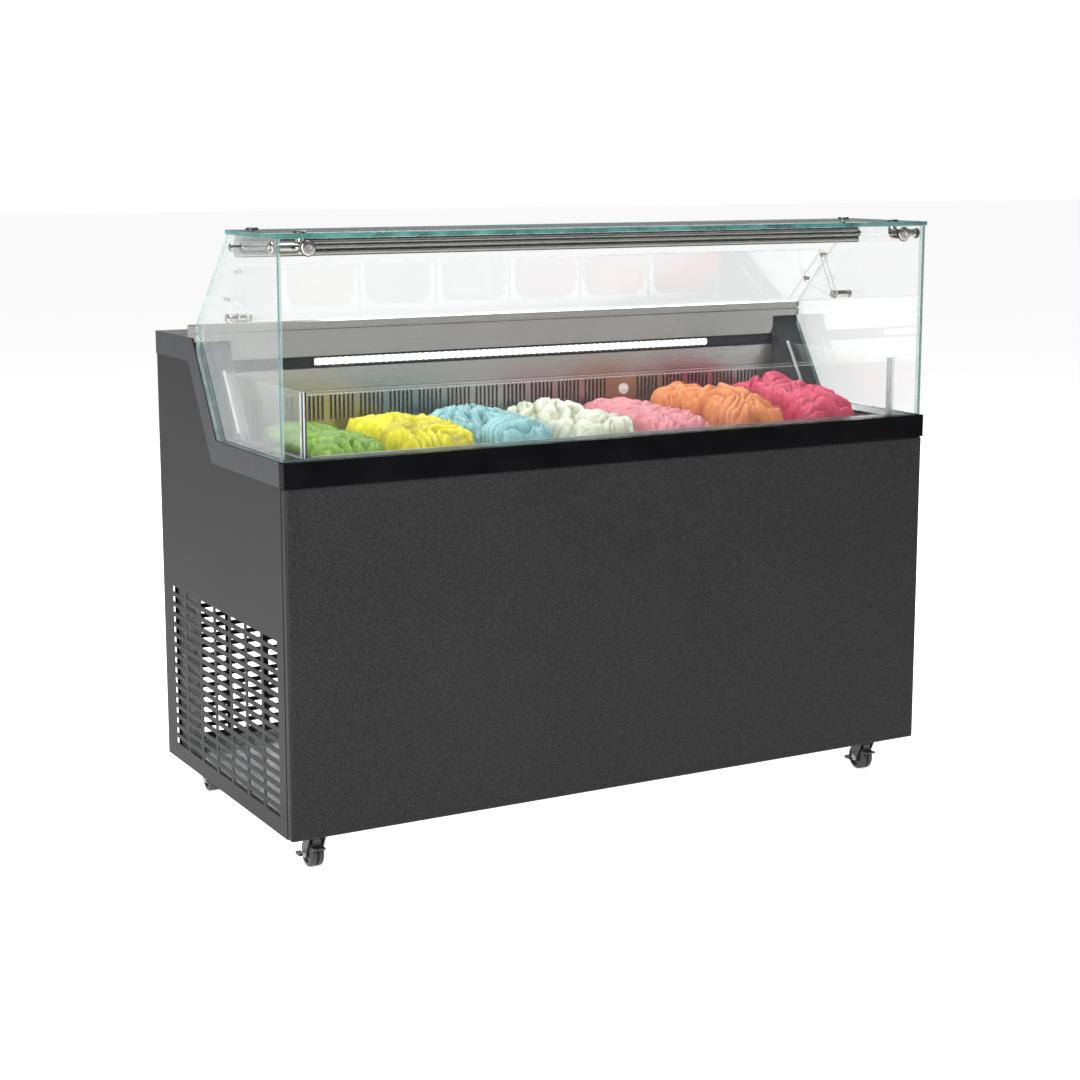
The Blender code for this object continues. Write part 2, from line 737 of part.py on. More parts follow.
def build_front_glass():
    """Upright front pane with a hole at each top corner for the clamps."""
    low = (-HALF_WIDTH, GLASS_FRONT_Y, LEDGE_Z + GAP)
    high = (HALF_WIDTH, GLASS_FRONT_Y + GLASS, TOP_GLASS_Z - GLASS - GAP)
    pane = boxed("front_glass", low, high, clear_glass())
    for side in (-1, 1):
        start = (side * CLAMP_X, GLASS_FRONT_Y - 0.01, CLAMP_Z)
        end = (side * CLAMP_X, GLASS_FRONT_Y + GLASS + 0.01, CLAMP_Z)
        cut_round_hole(pane, start, end)


def build_side_glass(name, side):
    """Side pane with a slanted rear edge; it stands on the gasket and follows the slope."""
    top_z = TOP_GLASS_Z - GLASS - GAP
    front_y = GLASS_FRONT_Y + GLASS + GAP
    foot_z = LEDGE_Z + GAP
    rear_foot_z = LEDGE_Z + (SIDE_GLASS_REAR_Y - SLOPE_FOOT_Y) * SLOPE_RISE + 0.001
    outline = [
        (front_y, foot_z),
        (SLOPE_FOOT_Y - 0.0005, foot_z),
        (SIDE_GLASS_REAR_Y, rear_foot_z),
        (SIDE_GLASS_REAR_Y, SIDE_GLASS_SHOULDER_Z),
        (SIDE_GLASS_TOP_REAR_Y, top_z),
        (front_y, top_z),
    ]
    pane = prism(name, outline, *span(side, HALF_WIDTH - GLASS, HALF_WIDTH), clear_glass())
    for hole_y, hole_z in ((CLAMP_Y, CLAMP_Z), (PROFILE_BOLT_Y, PROFILE_BOLT_Z), (PIVOT_Y, PIVOT_Z)):
        start = (side * (HALF_WIDTH - GLASS - 0.01), hole_y, hole_z)
        end = (side * (HALF_WIDTH + 0.01), hole_y, hole_z)
        cut_round_hole(pane, start, end)


def build_top_glass():
    """Top pane with holes for the corner clamps and the profile studs."""
    reach = HALF_WIDTH + TOP_GLASS_OVERHANG
    low = (-reach, GLASS_FRONT_Y - 0.001, TOP_GLASS_Z - GLASS)
    high = (reach, TOP_GLASS_REAR_Y, TOP_GLASS_Z)
    pane = boxed("top_glass", low, high, clear_glass())
    for side in (-1, 1):
        for hole_x, hole_y in ((CLAMP_X, CLAMP_TOP_Y), (PROFILE_STUD_X, PROFILE_BOLT_Y)):
            start = (side * hole_x, hole_y, TOP_GLASS_Z - GLASS - 0.01)
            end = (side * hole_x, hole_y, TOP_GLASS_Z + 0.01)
            cut_round_hole(pane, start, end)


def build_top_profile():
    """Ribbed aluminium profile under the rear of the top pane, with its studs and caps."""
    top = TOP_GLASS_Z - GLASS - GAP
    front = -0.112
    rear = -0.078
    outline = [
        (front, top),
        (front, top - 0.0045),
        (front + 0.008, top - 0.0045),
        (front + 0.008, top - 0.0095),
        (front + 0.001, top - 0.0095),
        (front + 0.001, top - 0.0135),
        (front + 0.007, top - 0.0160),
        (front + 0.007, top - 0.0270),
        (front, top - 0.0295),
        (front, top - 0.0385),
        (rear - 0.006, top - 0.0385),
        (rear, top - 0.0330),
        (rear - 0.002, top - 0.0160),
        (rear - 0.010, top),
    ]
    half_length = 0.6655
    profile = prism("top_profile", outline, -half_length, half_length, aluminium())
    for side in (-1, 1):
        foot = (side * PROFILE_STUD_X, PROFILE_BOLT_Y, top - 0.012)
        head = (side * PROFILE_STUD_X, PROFILE_BOLT_Y, TOP_GLASS_Z + 0.001)
        union(profile, add_cylinder, foot, head, STUD_RADIUS, 10)
        low = (side * PROFILE_STUD_X, PROFILE_BOLT_Y, TOP_GLASS_Z + GAP)
        high = (side * PROFILE_STUD_X, PROFILE_BOLT_Y, TOP_GLASS_Z + CAP_DEPTH)
        union(profile, add_cylinder, low, high, CAP_RADIUS, 12)
        inner = (side * (half_length - 0.02), PROFILE_BOLT_Y, PROFILE_BOLT_Z)
        outer = (side * (HALF_WIDTH + 0.001), PROFILE_BOLT_Y, PROFILE_BOLT_Z)
        union(profile, add_cylinder, inner, outer, STUD_RADIUS, 10)
        low = (side * (HALF_WIDTH + GAP), PROFILE_BOLT_Y, PROFILE_BOLT_Z)
        high = (side * (HALF_WIDTH + CAP_DEPTH), PROFILE_BOLT_Y, PROFILE_BOLT_Z)
        union(profile, add_cylinder, low, high, 0.007, 12)


def add_disc(mesh_builder, start, direction, radius):
    """Add a low cap that stands on the point start and faces along direction."""
    end = Vector(start) + Vector(direction) * (CAP_DEPTH - GAP)
    add_cylinder(mesh_builder, start, end, radius, 12, radius * 0.86)


def build_corner_clamp(name, side):
    """Three-way glass clamp: discs on the front, side and top panes, joined inside."""
    inner_front_y = GLASS_FRONT_Y + GLASS + GAP
    inner_side_x = side * (HALF_WIDTH - GLASS - GAP)
    inner_top_z = TOP_GLASS_Z - GLASS - GAP
    centre_x = side * CLAMP_X
    middle = (centre_x, CLAMP_Y, CLAMP_Z)
    top_middle = (centre_x, CLAMP_TOP_Y, CLAMP_Z)
    mesh_builder = bmesh.new()
    start = (centre_x, inner_front_y, CLAMP_Z)
    add_cylinder(mesh_builder, start, (centre_x, CLAMP_TOP_Y + 0.012, CLAMP_Z), 0.0105, 12)
    clamp = finish_object(name, mesh_builder, chrome())
    union(clamp, add_cylinder, middle, (inner_side_x, CLAMP_Y, CLAMP_Z), 0.0085, 10)
    union(clamp, add_cylinder, top_middle, (centre_x, CLAMP_TOP_Y, inner_top_z), 0.0080, 10)
    front_tip = (centre_x, GLASS_FRONT_Y - 0.001, CLAMP_Z)
    union(clamp, add_cylinder, middle, front_tip, STUD_RADIUS, 8)
    side_tip = (side * (HALF_WIDTH + 0.001), CLAMP_Y, CLAMP_Z)
    union(clamp, add_cylinder, middle, side_tip, STUD_RADIUS, 8)
    top_tip = (centre_x, CLAMP_TOP_Y, TOP_GLASS_Z + 0.001)
    union(clamp, add_cylinder, top_middle, top_tip, STUD_RADIUS, 8)
    union(clamp, add_disc, (centre_x, GLASS_FRONT_Y - GAP, CLAMP_Z), (0, -1, 0), CLAMP_DISC_RADIUS)
    union(clamp, add_disc, (side * (HALF_WIDTH + GAP), CLAMP_Y, CLAMP_Z), (side, 0, 0), CAP_RADIUS)
    union(clamp, add_disc, (centre_x, CLAMP_TOP_Y, TOP_GLASS_Z + GAP), (0, 0, 1), CAP_RADIUS)
    smooth(clamp)


def build_flap_pivot(name, side):
    """Standoff through the side pane that the rear flap turns on."""
    arm_outer = side * (FLAP_ARM_X + 0.001)
    arm_inner = side * (FLAP_ARM_X - FLAP_THICKNESS - 0.001)
    glass_inner = side * (HALF_WIDTH - GLASS - GAP)
    glass_outer = side * (HALF_WIDTH + GAP)
    mesh_builder = bmesh.new()
    start = (arm_outer, PIVOT_Y, PIVOT_Z)
    add_cylinder(mesh_builder, start, (glass_inner, PIVOT_Y, PIVOT_Z), 0.0075, 12)
    pivot = finish_object(name, mesh_builder, chrome())
    inner_tip = (arm_inner - side * 0.001, PIVOT_Y, PIVOT_Z)
    outer_tip = (glass_outer + side * 0.001, PIVOT_Y, PIVOT_Z)
    union(pivot, add_cylinder, inner_tip, outer_tip, STUD_RADIUS, 10)
    union(pivot, add_disc, (glass_outer, PIVOT_Y, PIVOT_Z), (side, 0, 0), PIVOT_CAP_RADIUS)
    union(pivot, add_disc, (arm_inner, PIVOT_Y, PIVOT_Z), (-side, 0, 0), PIVOT_CAP_RADIUS)
    smooth(pivot)


def flap_point(y, depth=0.0):
    """Return (y, z) on the flap's outer face at y, or depth below that face."""
    step = depth / math.sqrt(2)
    return (y - step, FLAP_SUM - y - step)


def add_flap_arm(mesh_builder, side):
    face = FLAP_THICKNESS * 0.5
    outline = [
        flap_point(-0.020, face),
        flap_point(0.052, face),
        (PIVOT_Y + 0.012, PIVOT_Z - 0.014),
        (PIVOT_Y - 0.012, PIVOT_Z - 0.012),
        (PIVOT_Y - 0.014, PIVOT_Z + 0.010),
    ]
    add_prism(mesh_builder, outline, *span(side, FLAP_ARM_X - FLAP_THICKNESS, FLAP_ARM_X))


def add_flap_arm_window(mesh_builder, side):
    outline = [flap_point(-0.012, 0.018), flap_point(0.038, 0.018), (PIVOT_Y + 0.020, PIVOT_Z + 0.004)]
    add_prism(mesh_builder, outline, *span(side, FLAP_ARM_X - 0.01, FLAP_ARM_X + 0.01))


def build_rear_flap():
    """Clear tilting flap over the service opening, with a V-shaped arm at each end."""
    outline = [
        flap_point(FLAP_TOP_Y),
        flap_point(FLAP_LOW_Y),
        flap_point(FLAP_LOW_Y, FLAP_THICKNESS),
        flap_point(FLAP_TOP_Y, FLAP_THICKNESS),
    ]
    mesh_builder = bmesh.new()
    add_prism(mesh_builder, outline, -FLAP_ARM_X, FLAP_ARM_X)
    flap = finish_object("rear_flap", mesh_builder, clear_acrylic(), (0.0, PIVOT_Y, PIVOT_Z))
    for side in (-1, 1):
        union(flap, add_flap_arm, side)
        cut(flap, add_flap_arm_window, side)
        start = (side * (FLAP_ARM_X - 0.02), PIVOT_Y, PIVOT_Z)
        end = (side * (FLAP_ARM_X + 0.01), PIVOT_Y, PIVOT_Z)
        cut_round_hole(flap, start, end)


GUARD_TOP_Z = 0.845
GUARD_SHEET = 0.005
GUARD_X = 0.630
GUARD_FRONT_Y = -0.282
GUARD_POST = 0.014


def add_guard_side(mesh_builder, side):
    low_z = LEDGE_Z + GAP
    outline = [
        (GUARD_FRONT_Y + 0.001, low_z),
        (slope_y(low_z) - 0.004, low_z),
        (slope_y(GUARD_TOP_Z) - 0.004, GUARD_TOP_Z),
        (GUARD_FRONT_Y + 0.001, GUARD_TOP_Z),
    ]
    add_prism(mesh_builder, outline, *span(side, GUARD_X - GUARD_SHEET, GUARD_X))


def add_guard_post(mesh_builder, side):
    x_low, x_high = span(side, GUARD_X - GUARD_POST, GUARD_X + 0.001)
    low = (x_low, GUARD_FRONT_Y - 0.001, LEDGE_Z + GAP)
    high = (x_high, GUARD_FRONT_Y + GUARD_POST - 0.001, GUARD_TOP_Z + 0.001)
    add_box(mesh_builder, low, high)


def build_guard():
    """Low clear guard around the front and sides of the tank, with corner posts."""
    low = (-GUARD_X, GUARD_FRONT_Y, LEDGE_Z + GAP)
    high = (GUARD_X, GUARD_FRONT_Y + GUARD_SHEET, GUARD_TOP_Z)
    guard = boxed("acrylic_guard", low, high, clear_acrylic())
    for side in (-1, 1):
        union(guard, add_guard_side, side)
        union(guard, add_guard_post, side)


# ---- Pans and ice cream --------------------------------------------------------------------
# Colour and height above the rim of each flavour, from left to right.
FLAVOURS = (
    ("green", (0.30, 0.52, 0.06), 0.040),
    ("yellow", (0.80, 0.74, 0.03), 0.056),
    ("teal", (0.28, 0.62, 0.62), 0.060),
    ("white", (0.82, 0.84, 0.68), 0.062),
    ("pink", (0.85, 0.36, 0.42), 0.050),
    ("orange", (0.82, 0.36, 0.12), 0.082),
    ("magenta", (0.72, 0.10, 0.20), 0.074),
)


def rounded_rectangle(half_x, half_y, radius, z, steps=2):
    """Return the points of a level rounded rectangle about the middle."""
    points = []
    corners = ((1, 1, 0.0), (-1, 1, 90.0), (-1, -1, 180.0), (1, -1, 270.0))
    for sign_x, sign_y, start in corners:
        for step in range(steps + 1):
            angle = math.radians(start + 90.0 * step / steps)
            x = sign_x * (half_x - radius) + radius * math.cos(angle)
            y = sign_y * (half_y - radius) + radius * math.sin(angle)
            points.append((x, y, z))
    return points


def add_loft(mesh_builder, loops):
    """Join a chain of equal point loops into one closed skin, capped at both ends."""
    rings = [[mesh_builder.verts.new(point) for point in loop] for loop in loops]
    count = len(rings[0])
    for here, after in zip(rings, rings[1:]):
        for index in range(count):
            other = (index + 1) % count
            mesh_builder.faces.new((here[index], here[other], after[other], after[index]))
    mesh_builder.faces.new(rings[0][::-1])
    mesh_builder.faces.new(rings[-1])


def pan_centre_x(number):
    return PAN_PITCH * (number - (PAN_COUNT - 1) / 2)


def build_pan(number):
    """Steel pan: a tapered tub with a flat rim."""
    rim_base = PAN_LEDGE_Z + GAP
    rim_top = rim_base + RIM_THICKNESS
    floor = rim_top - PAN_HEIGHT
    half_x = PAN_WIDTH / 2
    half_y = PAN_LENGTH / 2
    loops = [
        rounded_rectangle(half_x - 0.016, half_y - 0.019, 0.020, floor + PAN_SHEET),
        rounded_rectangle(half_x - 0.0110, half_y - 0.0145, 0.024, rim_top),
        rounded_rectangle(half_x, half_y, 0.012, rim_top),
        rounded_rectangle(half_x, half_y, 0.012, rim_base),
        rounded_rectangle(half_x - 0.0095, half_y - 0.0130, 0.0255, rim_base),
        rounded_rectangle(half_x - 0.0145, half_y - 0.0175, 0.0215, floor),
    ]
    mesh_builder = bmesh.new()
    add_loft(mesh_builder, loops)
    centre = Vector((pan_centre_x(number), PAN_CENTRE_Y, 0.0))
    bmesh.ops.translate(mesh_builder, vec=centre, verts=mesh_builder.verts)
    finish = material("pan_steel", (0.66, 0.66, 0.64), 0.25, 1.0)
    pan = finish_object("pan_%d" % (number + 1), mesh_builder, finish, centre)
    smooth(pan, 50.0)


def mound_height(u, v, rise, number):
    """Return the height of a mound at u, v from -1 to 1: a dome with soft folds."""
    dome = (1 - abs(u) ** 3) * (1 - abs(v) ** 4)
    fold = 0.80 + 0.12 * math.cos(3.1 * v + number) + 0.08 * math.cos(2.3 * u - 1.7 * v + 2 * number)
    return rise * dome * fold


def build_ice_cream(number):
    """Ice cream that fills a pan and stands above its rim as a folded mound."""
    name, colour, rise = FLAVOURS[number]
    rim_top = PAN_LEDGE_Z + GAP + RIM_THICKNESS
    floor = rim_top - PAN_HEIGHT + PAN_SHEET + GAP
    half_x = PAN_WIDTH / 2
    half_y = PAN_LENGTH / 2
    loops = [
        rounded_rectangle(half_x - 0.0175, half_y - 0.0205, 0.020, floor),
        rounded_rectangle(half_x - 0.0125, half_y - 0.0160, 0.024, rim_top),
    ]
    shrink_steps = (0.97, 0.86, 0.66, 0.38)
    for shrink in shrink_steps:
        loop = []
        for x, y, _ in loops[1]:
            u = x * shrink / half_x
            v = y * shrink / half_y
            loop.append((x * shrink, y * shrink, rim_top + 0.002 + mound_height(u, v, rise, number)))
        loops.append(loop)
    mesh_builder = bmesh.new()
    add_loft(mesh_builder, loops)
    centre = Vector((pan_centre_x(number), PAN_CENTRE_Y, 0.0))
    bmesh.ops.translate(mesh_builder, vec=centre, verts=mesh_builder.verts)
    finish = material("ice_" + name, colour, 0.6)
    mound = finish_object("ice_cream_%d" % (number + 1), mesh_builder, finish, centre)
    smooth(mound, 60.0)


# ---- Machine compartment -------------------------------------------------------------------
MACHINE_FLOOR_Z = TRAY_BASE_Z + TRAY_SHEET + GAP
COMPRESSOR_X = 0.130
COMPRESSOR_Y = 0.020
FAN_Z = 0.270
FAN_RADIUS = 0.118
SHROUD_X = 0.470
SHROUD_SHEET = 0.006
ROTOR_X = 0.482
ROTOR_DEPTH = 0.018
CONDENSER_X = 0.506
CONDENSER_DEPTH = 0.040
CONDENSER_HALF_Y = 0.180
CONDENSER_TOP_Z = 0.440
FAN_BLADES = 5


def ring_points(centre, radius, height, sides):
    """Return a level circle of points at a height above centre."""
    points = []
    for step in range(sides):
        angle = 2 * math.pi * step / sides
        points.append(centre + Vector((radius * math.cos(angle), radius * math.sin(angle), height)))
    return points


def add_pot(mesh_builder, centre):
    """Add the domed steel pot of the compressor."""
    outline = ((0.068, 0.0), (0.076, 0.02), (0.076, 0.10), (0.066, 0.145), (0.036, 0.165))
    add_loft(mesh_builder, [ring_points(centre, radius, height, 18) for radius, height in outline])


def build_compressor():
    """Sealed compressor pot with its foot plate and terminal box."""
    low = (COMPRESSOR_X - 0.090, COMPRESSOR_Y - 0.075, MACHINE_FLOOR_Z)
    high = (COMPRESSOR_X + 0.090, COMPRESSOR_Y + 0.075, MACHINE_FLOOR_Z + 0.014)
    pot = boxed("compressor", low, high, machine_black())
    base = MACHINE_FLOOR_Z + 0.010
    union(pot, add_pot, Vector((COMPRESSOR_X, COMPRESSOR_Y, base)))
    low = (COMPRESSOR_X - 0.105, COMPRESSOR_Y - 0.03, base + 0.04)
    high = (COMPRESSOR_X - 0.060, COMPRESSOR_Y + 0.03, base + 0.11)
    union(pot, add_box, low, high)
    smooth(pot)


def build_condenser():
    """Finned condenser block behind the right-hand side grille."""
    low = (CONDENSER_X, -CONDENSER_HALF_Y, MACHINE_FLOOR_Z)
    high = (CONDENSER_X + CONDENSER_DEPTH, CONDENSER_HALF_Y, CONDENSER_TOP_Z)
    finish = material("coil_metal", (0.32, 0.30, 0.28), 0.5, 1.0)
    block = boxed("condenser", low, high, finish)
    cut(block, add_fin_gaps, CONDENSER_X + CONDENSER_DEPTH - 0.012, CONDENSER_X + CONDENSER_DEPTH + 0.01)


def add_fin_gaps(mesh_builder, x_low, x_high):
    gaps = 14
    pitch = (2 * CONDENSER_HALF_Y - 0.030) / gaps
    for gap in range(gaps):
        y_low = -CONDENSER_HALF_Y + 0.015 + pitch * gap
        low = (x_low, y_low + 0.004, MACHINE_FLOOR_Z + 0.02)
        high = (x_high, y_low + pitch - 0.004, CONDENSER_TOP_Z - 0.02)
        add_box(mesh_builder, low, high)


def build_fan_shroud():
    """Plate with a round air hole, two crossing bars and the fan motor on them."""
    low = (SHROUD_X, -CONDENSER_HALF_Y, MACHINE_FLOOR_Z)
    high = (SHROUD_X + SHROUD_SHEET, CONDENSER_HALF_Y, CONDENSER_TOP_Z)
    shroud = boxed("fan_shroud", low, high, material("machine_grey", (0.16, 0.16, 0.17), 0.5))
    start = (SHROUD_X - 0.01, 0.0, FAN_Z)
    end = (SHROUD_X + 0.02, 0.0, FAN_Z)
    cut(shroud, add_cylinder, start, end, FAN_RADIUS + 0.007, 28)
    inner_x = SHROUD_X + 0.001
    outer_x = SHROUD_X + SHROUD_SHEET - 0.001
    reach = FAN_RADIUS + 0.015
    low = (inner_x, -reach, FAN_Z - 0.006)
    union(shroud, add_box, low, (outer_x, reach, FAN_Z + 0.006))
    low = (inner_x - 0.0005, -0.006, FAN_Z - reach)
    union(shroud, add_box, low, (outer_x + 0.0005, 0.006, FAN_Z + reach))
    motor_start = (SHROUD_X - 0.045, 0.0, FAN_Z)
    motor_end = (SHROUD_X + SHROUD_SHEET, 0.0, FAN_Z)
    union(shroud, add_cylinder, motor_start, motor_end, 0.034, 16)


def add_fan_blade(mesh_builder, number):
    """Add one pitched blade that starts inside the hub."""
    angle = 2 * math.pi * number / FAN_BLADES
    turn = Matrix.Rotation(angle, 4, "X")
    pitch = Matrix.Rotation(math.radians(24), 4, "Z")
    middle = Matrix.Translation((ROTOR_X + ROTOR_DEPTH / 2, 0.0, FAN_Z))
    reach = (0.020 + FAN_RADIUS) / 2
    size = Matrix.Diagonal((0.0025, 0.036, FAN_RADIUS - 0.020, 1.0))
    place = middle @ turn @ Matrix.Translation((0.0, 0.0, reach)) @ pitch @ size
    bmesh.ops.create_cube(mesh_builder, size=1.0, matrix=place)


def build_fan_rotor():
    """Five-bladed condenser fan that turns about X."""
    mesh_builder = bmesh.new()
    start = (ROTOR_X, 0.0, FAN_Z)
    end = (ROTOR_X + ROTOR_DEPTH, 0.0, FAN_Z)
    add_cylinder(mesh_builder, start, end, 0.030, 20)
    rotor = finish_object("fan_rotor", mesh_builder, machine_black(), start)
    for number in range(FAN_BLADES):
        union(rotor, add_fan_blade, number)


EVAPORATOR_HALF_X = 0.450
EVAPORATOR_LOW_Y = 0.130
EVAPORATOR_HIGH_Y = 0.230
EVAPORATOR_TOP_Z = 0.720


def add_evaporator_gaps(mesh_builder):
    gaps = 18
    pitch = (2 * EVAPORATOR_HALF_X - 0.040) / gaps
    for gap in range(gaps):
        x_low = -EVAPORATOR_HALF_X + 0.020 + pitch * gap
        low = (x_low + 0.010, EVAPORATOR_LOW_Y + 0.010, BOX_FLOOR_Z + 0.05)
        high = (x_low + pitch - 0.010, EVAPORATOR_HIGH_Y - 0.010, EVAPORATOR_TOP_Z + 0.01)
        add_box(mesh_builder, low, high)


def build_evaporator():
    """Finned evaporator block in the air duct behind the tank."""
    low = (-EVAPORATOR_HALF_X, EVAPORATOR_LOW_Y, BOX_FLOOR_Z + GAP)
    high = (EVAPORATOR_HALF_X, EVAPORATOR_HIGH_Y, EVAPORATOR_TOP_Z)
    block = boxed("evaporator", low, high, aluminium())
    cut(block, add_evaporator_gaps)


# ---- Controls on the rear panel ------------------------------------------------------------
CONTROL_X = -0.40
CONTROL_Z = 0.845
CONTROL_HALF_X = 0.080
CONTROL_HALF_Z = 0.030
CONTROL_DEPTH = 0.0082
ROCKER_X = CONTROL_X + 0.055
ROCKER_HALF_X = 0.0085
ROCKER_HALF_Z = 0.011
ROCKER_PIVOT_Y = REAR_PANEL_OUTER_Y + 0.0050
ROCKER_TILT = math.radians(8)


def build_controller():
    """Controller housing with a pocket for the power rocker."""
    low = (CONTROL_X - CONTROL_HALF_X, REAR_PANEL_OUTER_Y + GAP, CONTROL_Z - CONTROL_HALF_Z)
    high = (CONTROL_X + CONTROL_HALF_X, REAR_PANEL_OUTER_Y + GAP + CONTROL_DEPTH, CONTROL_Z + CONTROL_HALF_Z)
    housing = boxed("controller", low, high, dark_plastic())
    pocket_x = ROCKER_HALF_X + 0.0006
    pocket_z = ROCKER_HALF_Z + 0.0012
    low = (ROCKER_X - pocket_x, REAR_PANEL_OUTER_Y + 0.0015, CONTROL_Z - pocket_z)
    high = (ROCKER_X + pocket_x, REAR_PANEL_OUTER_Y + 0.02, CONTROL_Z + pocket_z)
    cut(housing, add_box, low, high)


def build_power_rocker():
    """Rocker with a shallow V face, stored tilted to its off side."""
    outline = []
    tip = ROCKER_HALF_Z - 0.001
    face = ((0.0022, tip), (0.0008, 0.0), (0.0022, -tip), (-0.0028, -0.003), (-0.0028, 0.003))
    for y, z in face:
        turned_y = y * math.cos(ROCKER_TILT) - z * math.sin(ROCKER_TILT)
        turned_z = y * math.sin(ROCKER_TILT) + z * math.cos(ROCKER_TILT)
        outline.append((ROCKER_PIVOT_Y + turned_y, CONTROL_Z + turned_z))
    mesh_builder = bmesh.new()
    add_prism(mesh_builder, outline, ROCKER_X - ROCKER_HALF_X, ROCKER_X + ROCKER_HALF_X)
    finish = material("rocker_green", (0.05, 0.30, 0.08), 0.35)
    finish_object("power_rocker", mesh_builder, finish, (ROCKER_X, ROCKER_PIVOT_Y, CONTROL_Z))


# ---- Castors -------------------------------------------------------------------------------
FORK_TOP_Z = TRAY_BASE_Z - PAD_THICKNESS - GAP
FORK_LEG = 0.0025
AXLE_RADIUS = 0.0040
WHEEL_BORE = 0.0044
WHEEL_SIDES = 16


def add_fork_leg(mesh_builder, x_low, x_high, swivel_y, wheel_y):
    outline = [
        (swivel_y - 0.016, FORK_TOP_Z - 0.001),
        (swivel_y + 0.016, FORK_TOP_Z - 0.001),
        (wheel_y + 0.009, WHEEL_RADIUS + 0.004),
        (wheel_y + 0.006, WHEEL_RADIUS - 0.008),
        (wheel_y - 0.006, WHEEL_RADIUS - 0.008),
        (wheel_y - 0.009, WHEEL_RADIUS + 0.004),
    ]
    add_prism(mesh_builder, outline, x_low, x_high)


def build_castor(label, side, end):
    """Swivel castor: a fork with its axle, and a wheel with a groove between two treads."""
    swivel_x = side * CASTOR_X
    swivel_y = end * CASTOR_Y
    wheel_y = swivel_y + CASTOR_TRAIL
    mesh_builder = bmesh.new()
    low = (swivel_x - 0.020, swivel_y - 0.022, FORK_TOP_Z - 0.004)
    high = (swivel_x + 0.020, swivel_y + 0.022, FORK_TOP_Z)
    add_box(mesh_builder, low, high)
    steel = material("castor_steel", (0.42, 0.42, 0.43), 0.4, 1.0)
    fork = finish_object("castor_fork_" + label, mesh_builder, steel, (swivel_x, swivel_y, FORK_TOP_Z))
    inner = WHEEL_HALF_WIDTH + 0.001
    for leg_side in (-1, 1):
        x_low, x_high = sorted((swivel_x + leg_side * inner, swivel_x + leg_side * (inner + FORK_LEG)))
        union(fork, add_fork_leg, x_low, x_high, swivel_y, wheel_y)
    reach = inner + FORK_LEG + 0.0015
    left_end = (swivel_x - reach, wheel_y, WHEEL_RADIUS)
    right_end = (swivel_x + reach, wheel_y, WHEEL_RADIUS)
    union(fork, add_cylinder, left_end, right_end, AXLE_RADIUS, 12)
    if end < 0:
        low = (swivel_x - inner - FORK_LEG - 0.008, wheel_y + 0.004, WHEEL_RADIUS - 0.006)
        high = (swivel_x - inner - 0.001, wheel_y + 0.022, WHEEL_RADIUS - 0.001)
        union(fork, add_box, low, high)
    outline = [
        (WHEEL_BORE, -WHEEL_HALF_WIDTH),
        (WHEEL_RADIUS - 0.003, -WHEEL_HALF_WIDTH),
        (WHEEL_RADIUS, -WHEEL_HALF_WIDTH + 0.003),
        (WHEEL_RADIUS, -0.0015),
        (WHEEL_RADIUS - 0.003, 0.0),
        (WHEEL_RADIUS, 0.0015),
        (WHEEL_RADIUS, WHEEL_HALF_WIDTH - 0.003),
        (WHEEL_RADIUS - 0.003, WHEEL_HALF_WIDTH),
        (WHEEL_BORE, WHEEL_HALF_WIDTH),
    ]
    centre = (swivel_x, wheel_y, WHEEL_RADIUS)
    mesh_builder = bmesh.new()
    add_turned(mesh_builder, outline, centre, (1, 0, 0), WHEEL_SIDES)
    tyre = material("castor_tyre", (0.015, 0.015, 0.016), 0.55)
    wheel = finish_object("castor_wheel_" + label, mesh_builder, tyre, centre)
    smooth(wheel)


# ---- Assembly ------------------------------------------------------------------------------
def main():
    clear_scene()
    build_base_frame()
    build_front_panel()
    build_rear_panels()
    build_front_trim()
    build_gasket()
    build_insulation()
    build_tank_liner()
    build_deck_frame()
    build_vent_grille()
    build_grille_knob()
    build_back_wall()
    build_light()
    build_worktop()
    build_front_glass()
    build_top_glass()
    build_top_profile()
    build_rear_flap()
    build_guard()
    for label, side in (("left", -1), ("right", 1)):
        build_side_panel("side_panel_" + label, side)
        build_side_trim("side_trim_" + label, side)
        build_cheek("cheek_" + label, side)
        build_side_glass("side_glass_" + label, side)
        build_corner_clamp("corner_clamp_" + label, side)
        build_flap_pivot("flap_pivot_" + label, side)
        build_castor("front_" + label, side, -1)
        build_castor("rear_" + label, side, 1)
    for number in range(PAN_COUNT):
        build_pan(number)
        build_ice_cream(number)
    build_compressor()
    build_condenser()
    build_fan_shroud()
    build_fan_rotor()
    build_evaporator()
    build_controller()
    build_power_rocker()


main()
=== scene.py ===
"""Dress the packed ice cream dipping cabinet: finishes, fine pieces, studio and camera.

The front faces -Y, +X is to the right as seen from the front, and all lengths are in metres.
"""
import functools
import json
import logging
import math
from collections.abc import Callable, Sequence
from dataclasses import dataclass
from enum import Enum

import bmesh
import bpy
from mathutils import Matrix, Vector, noise

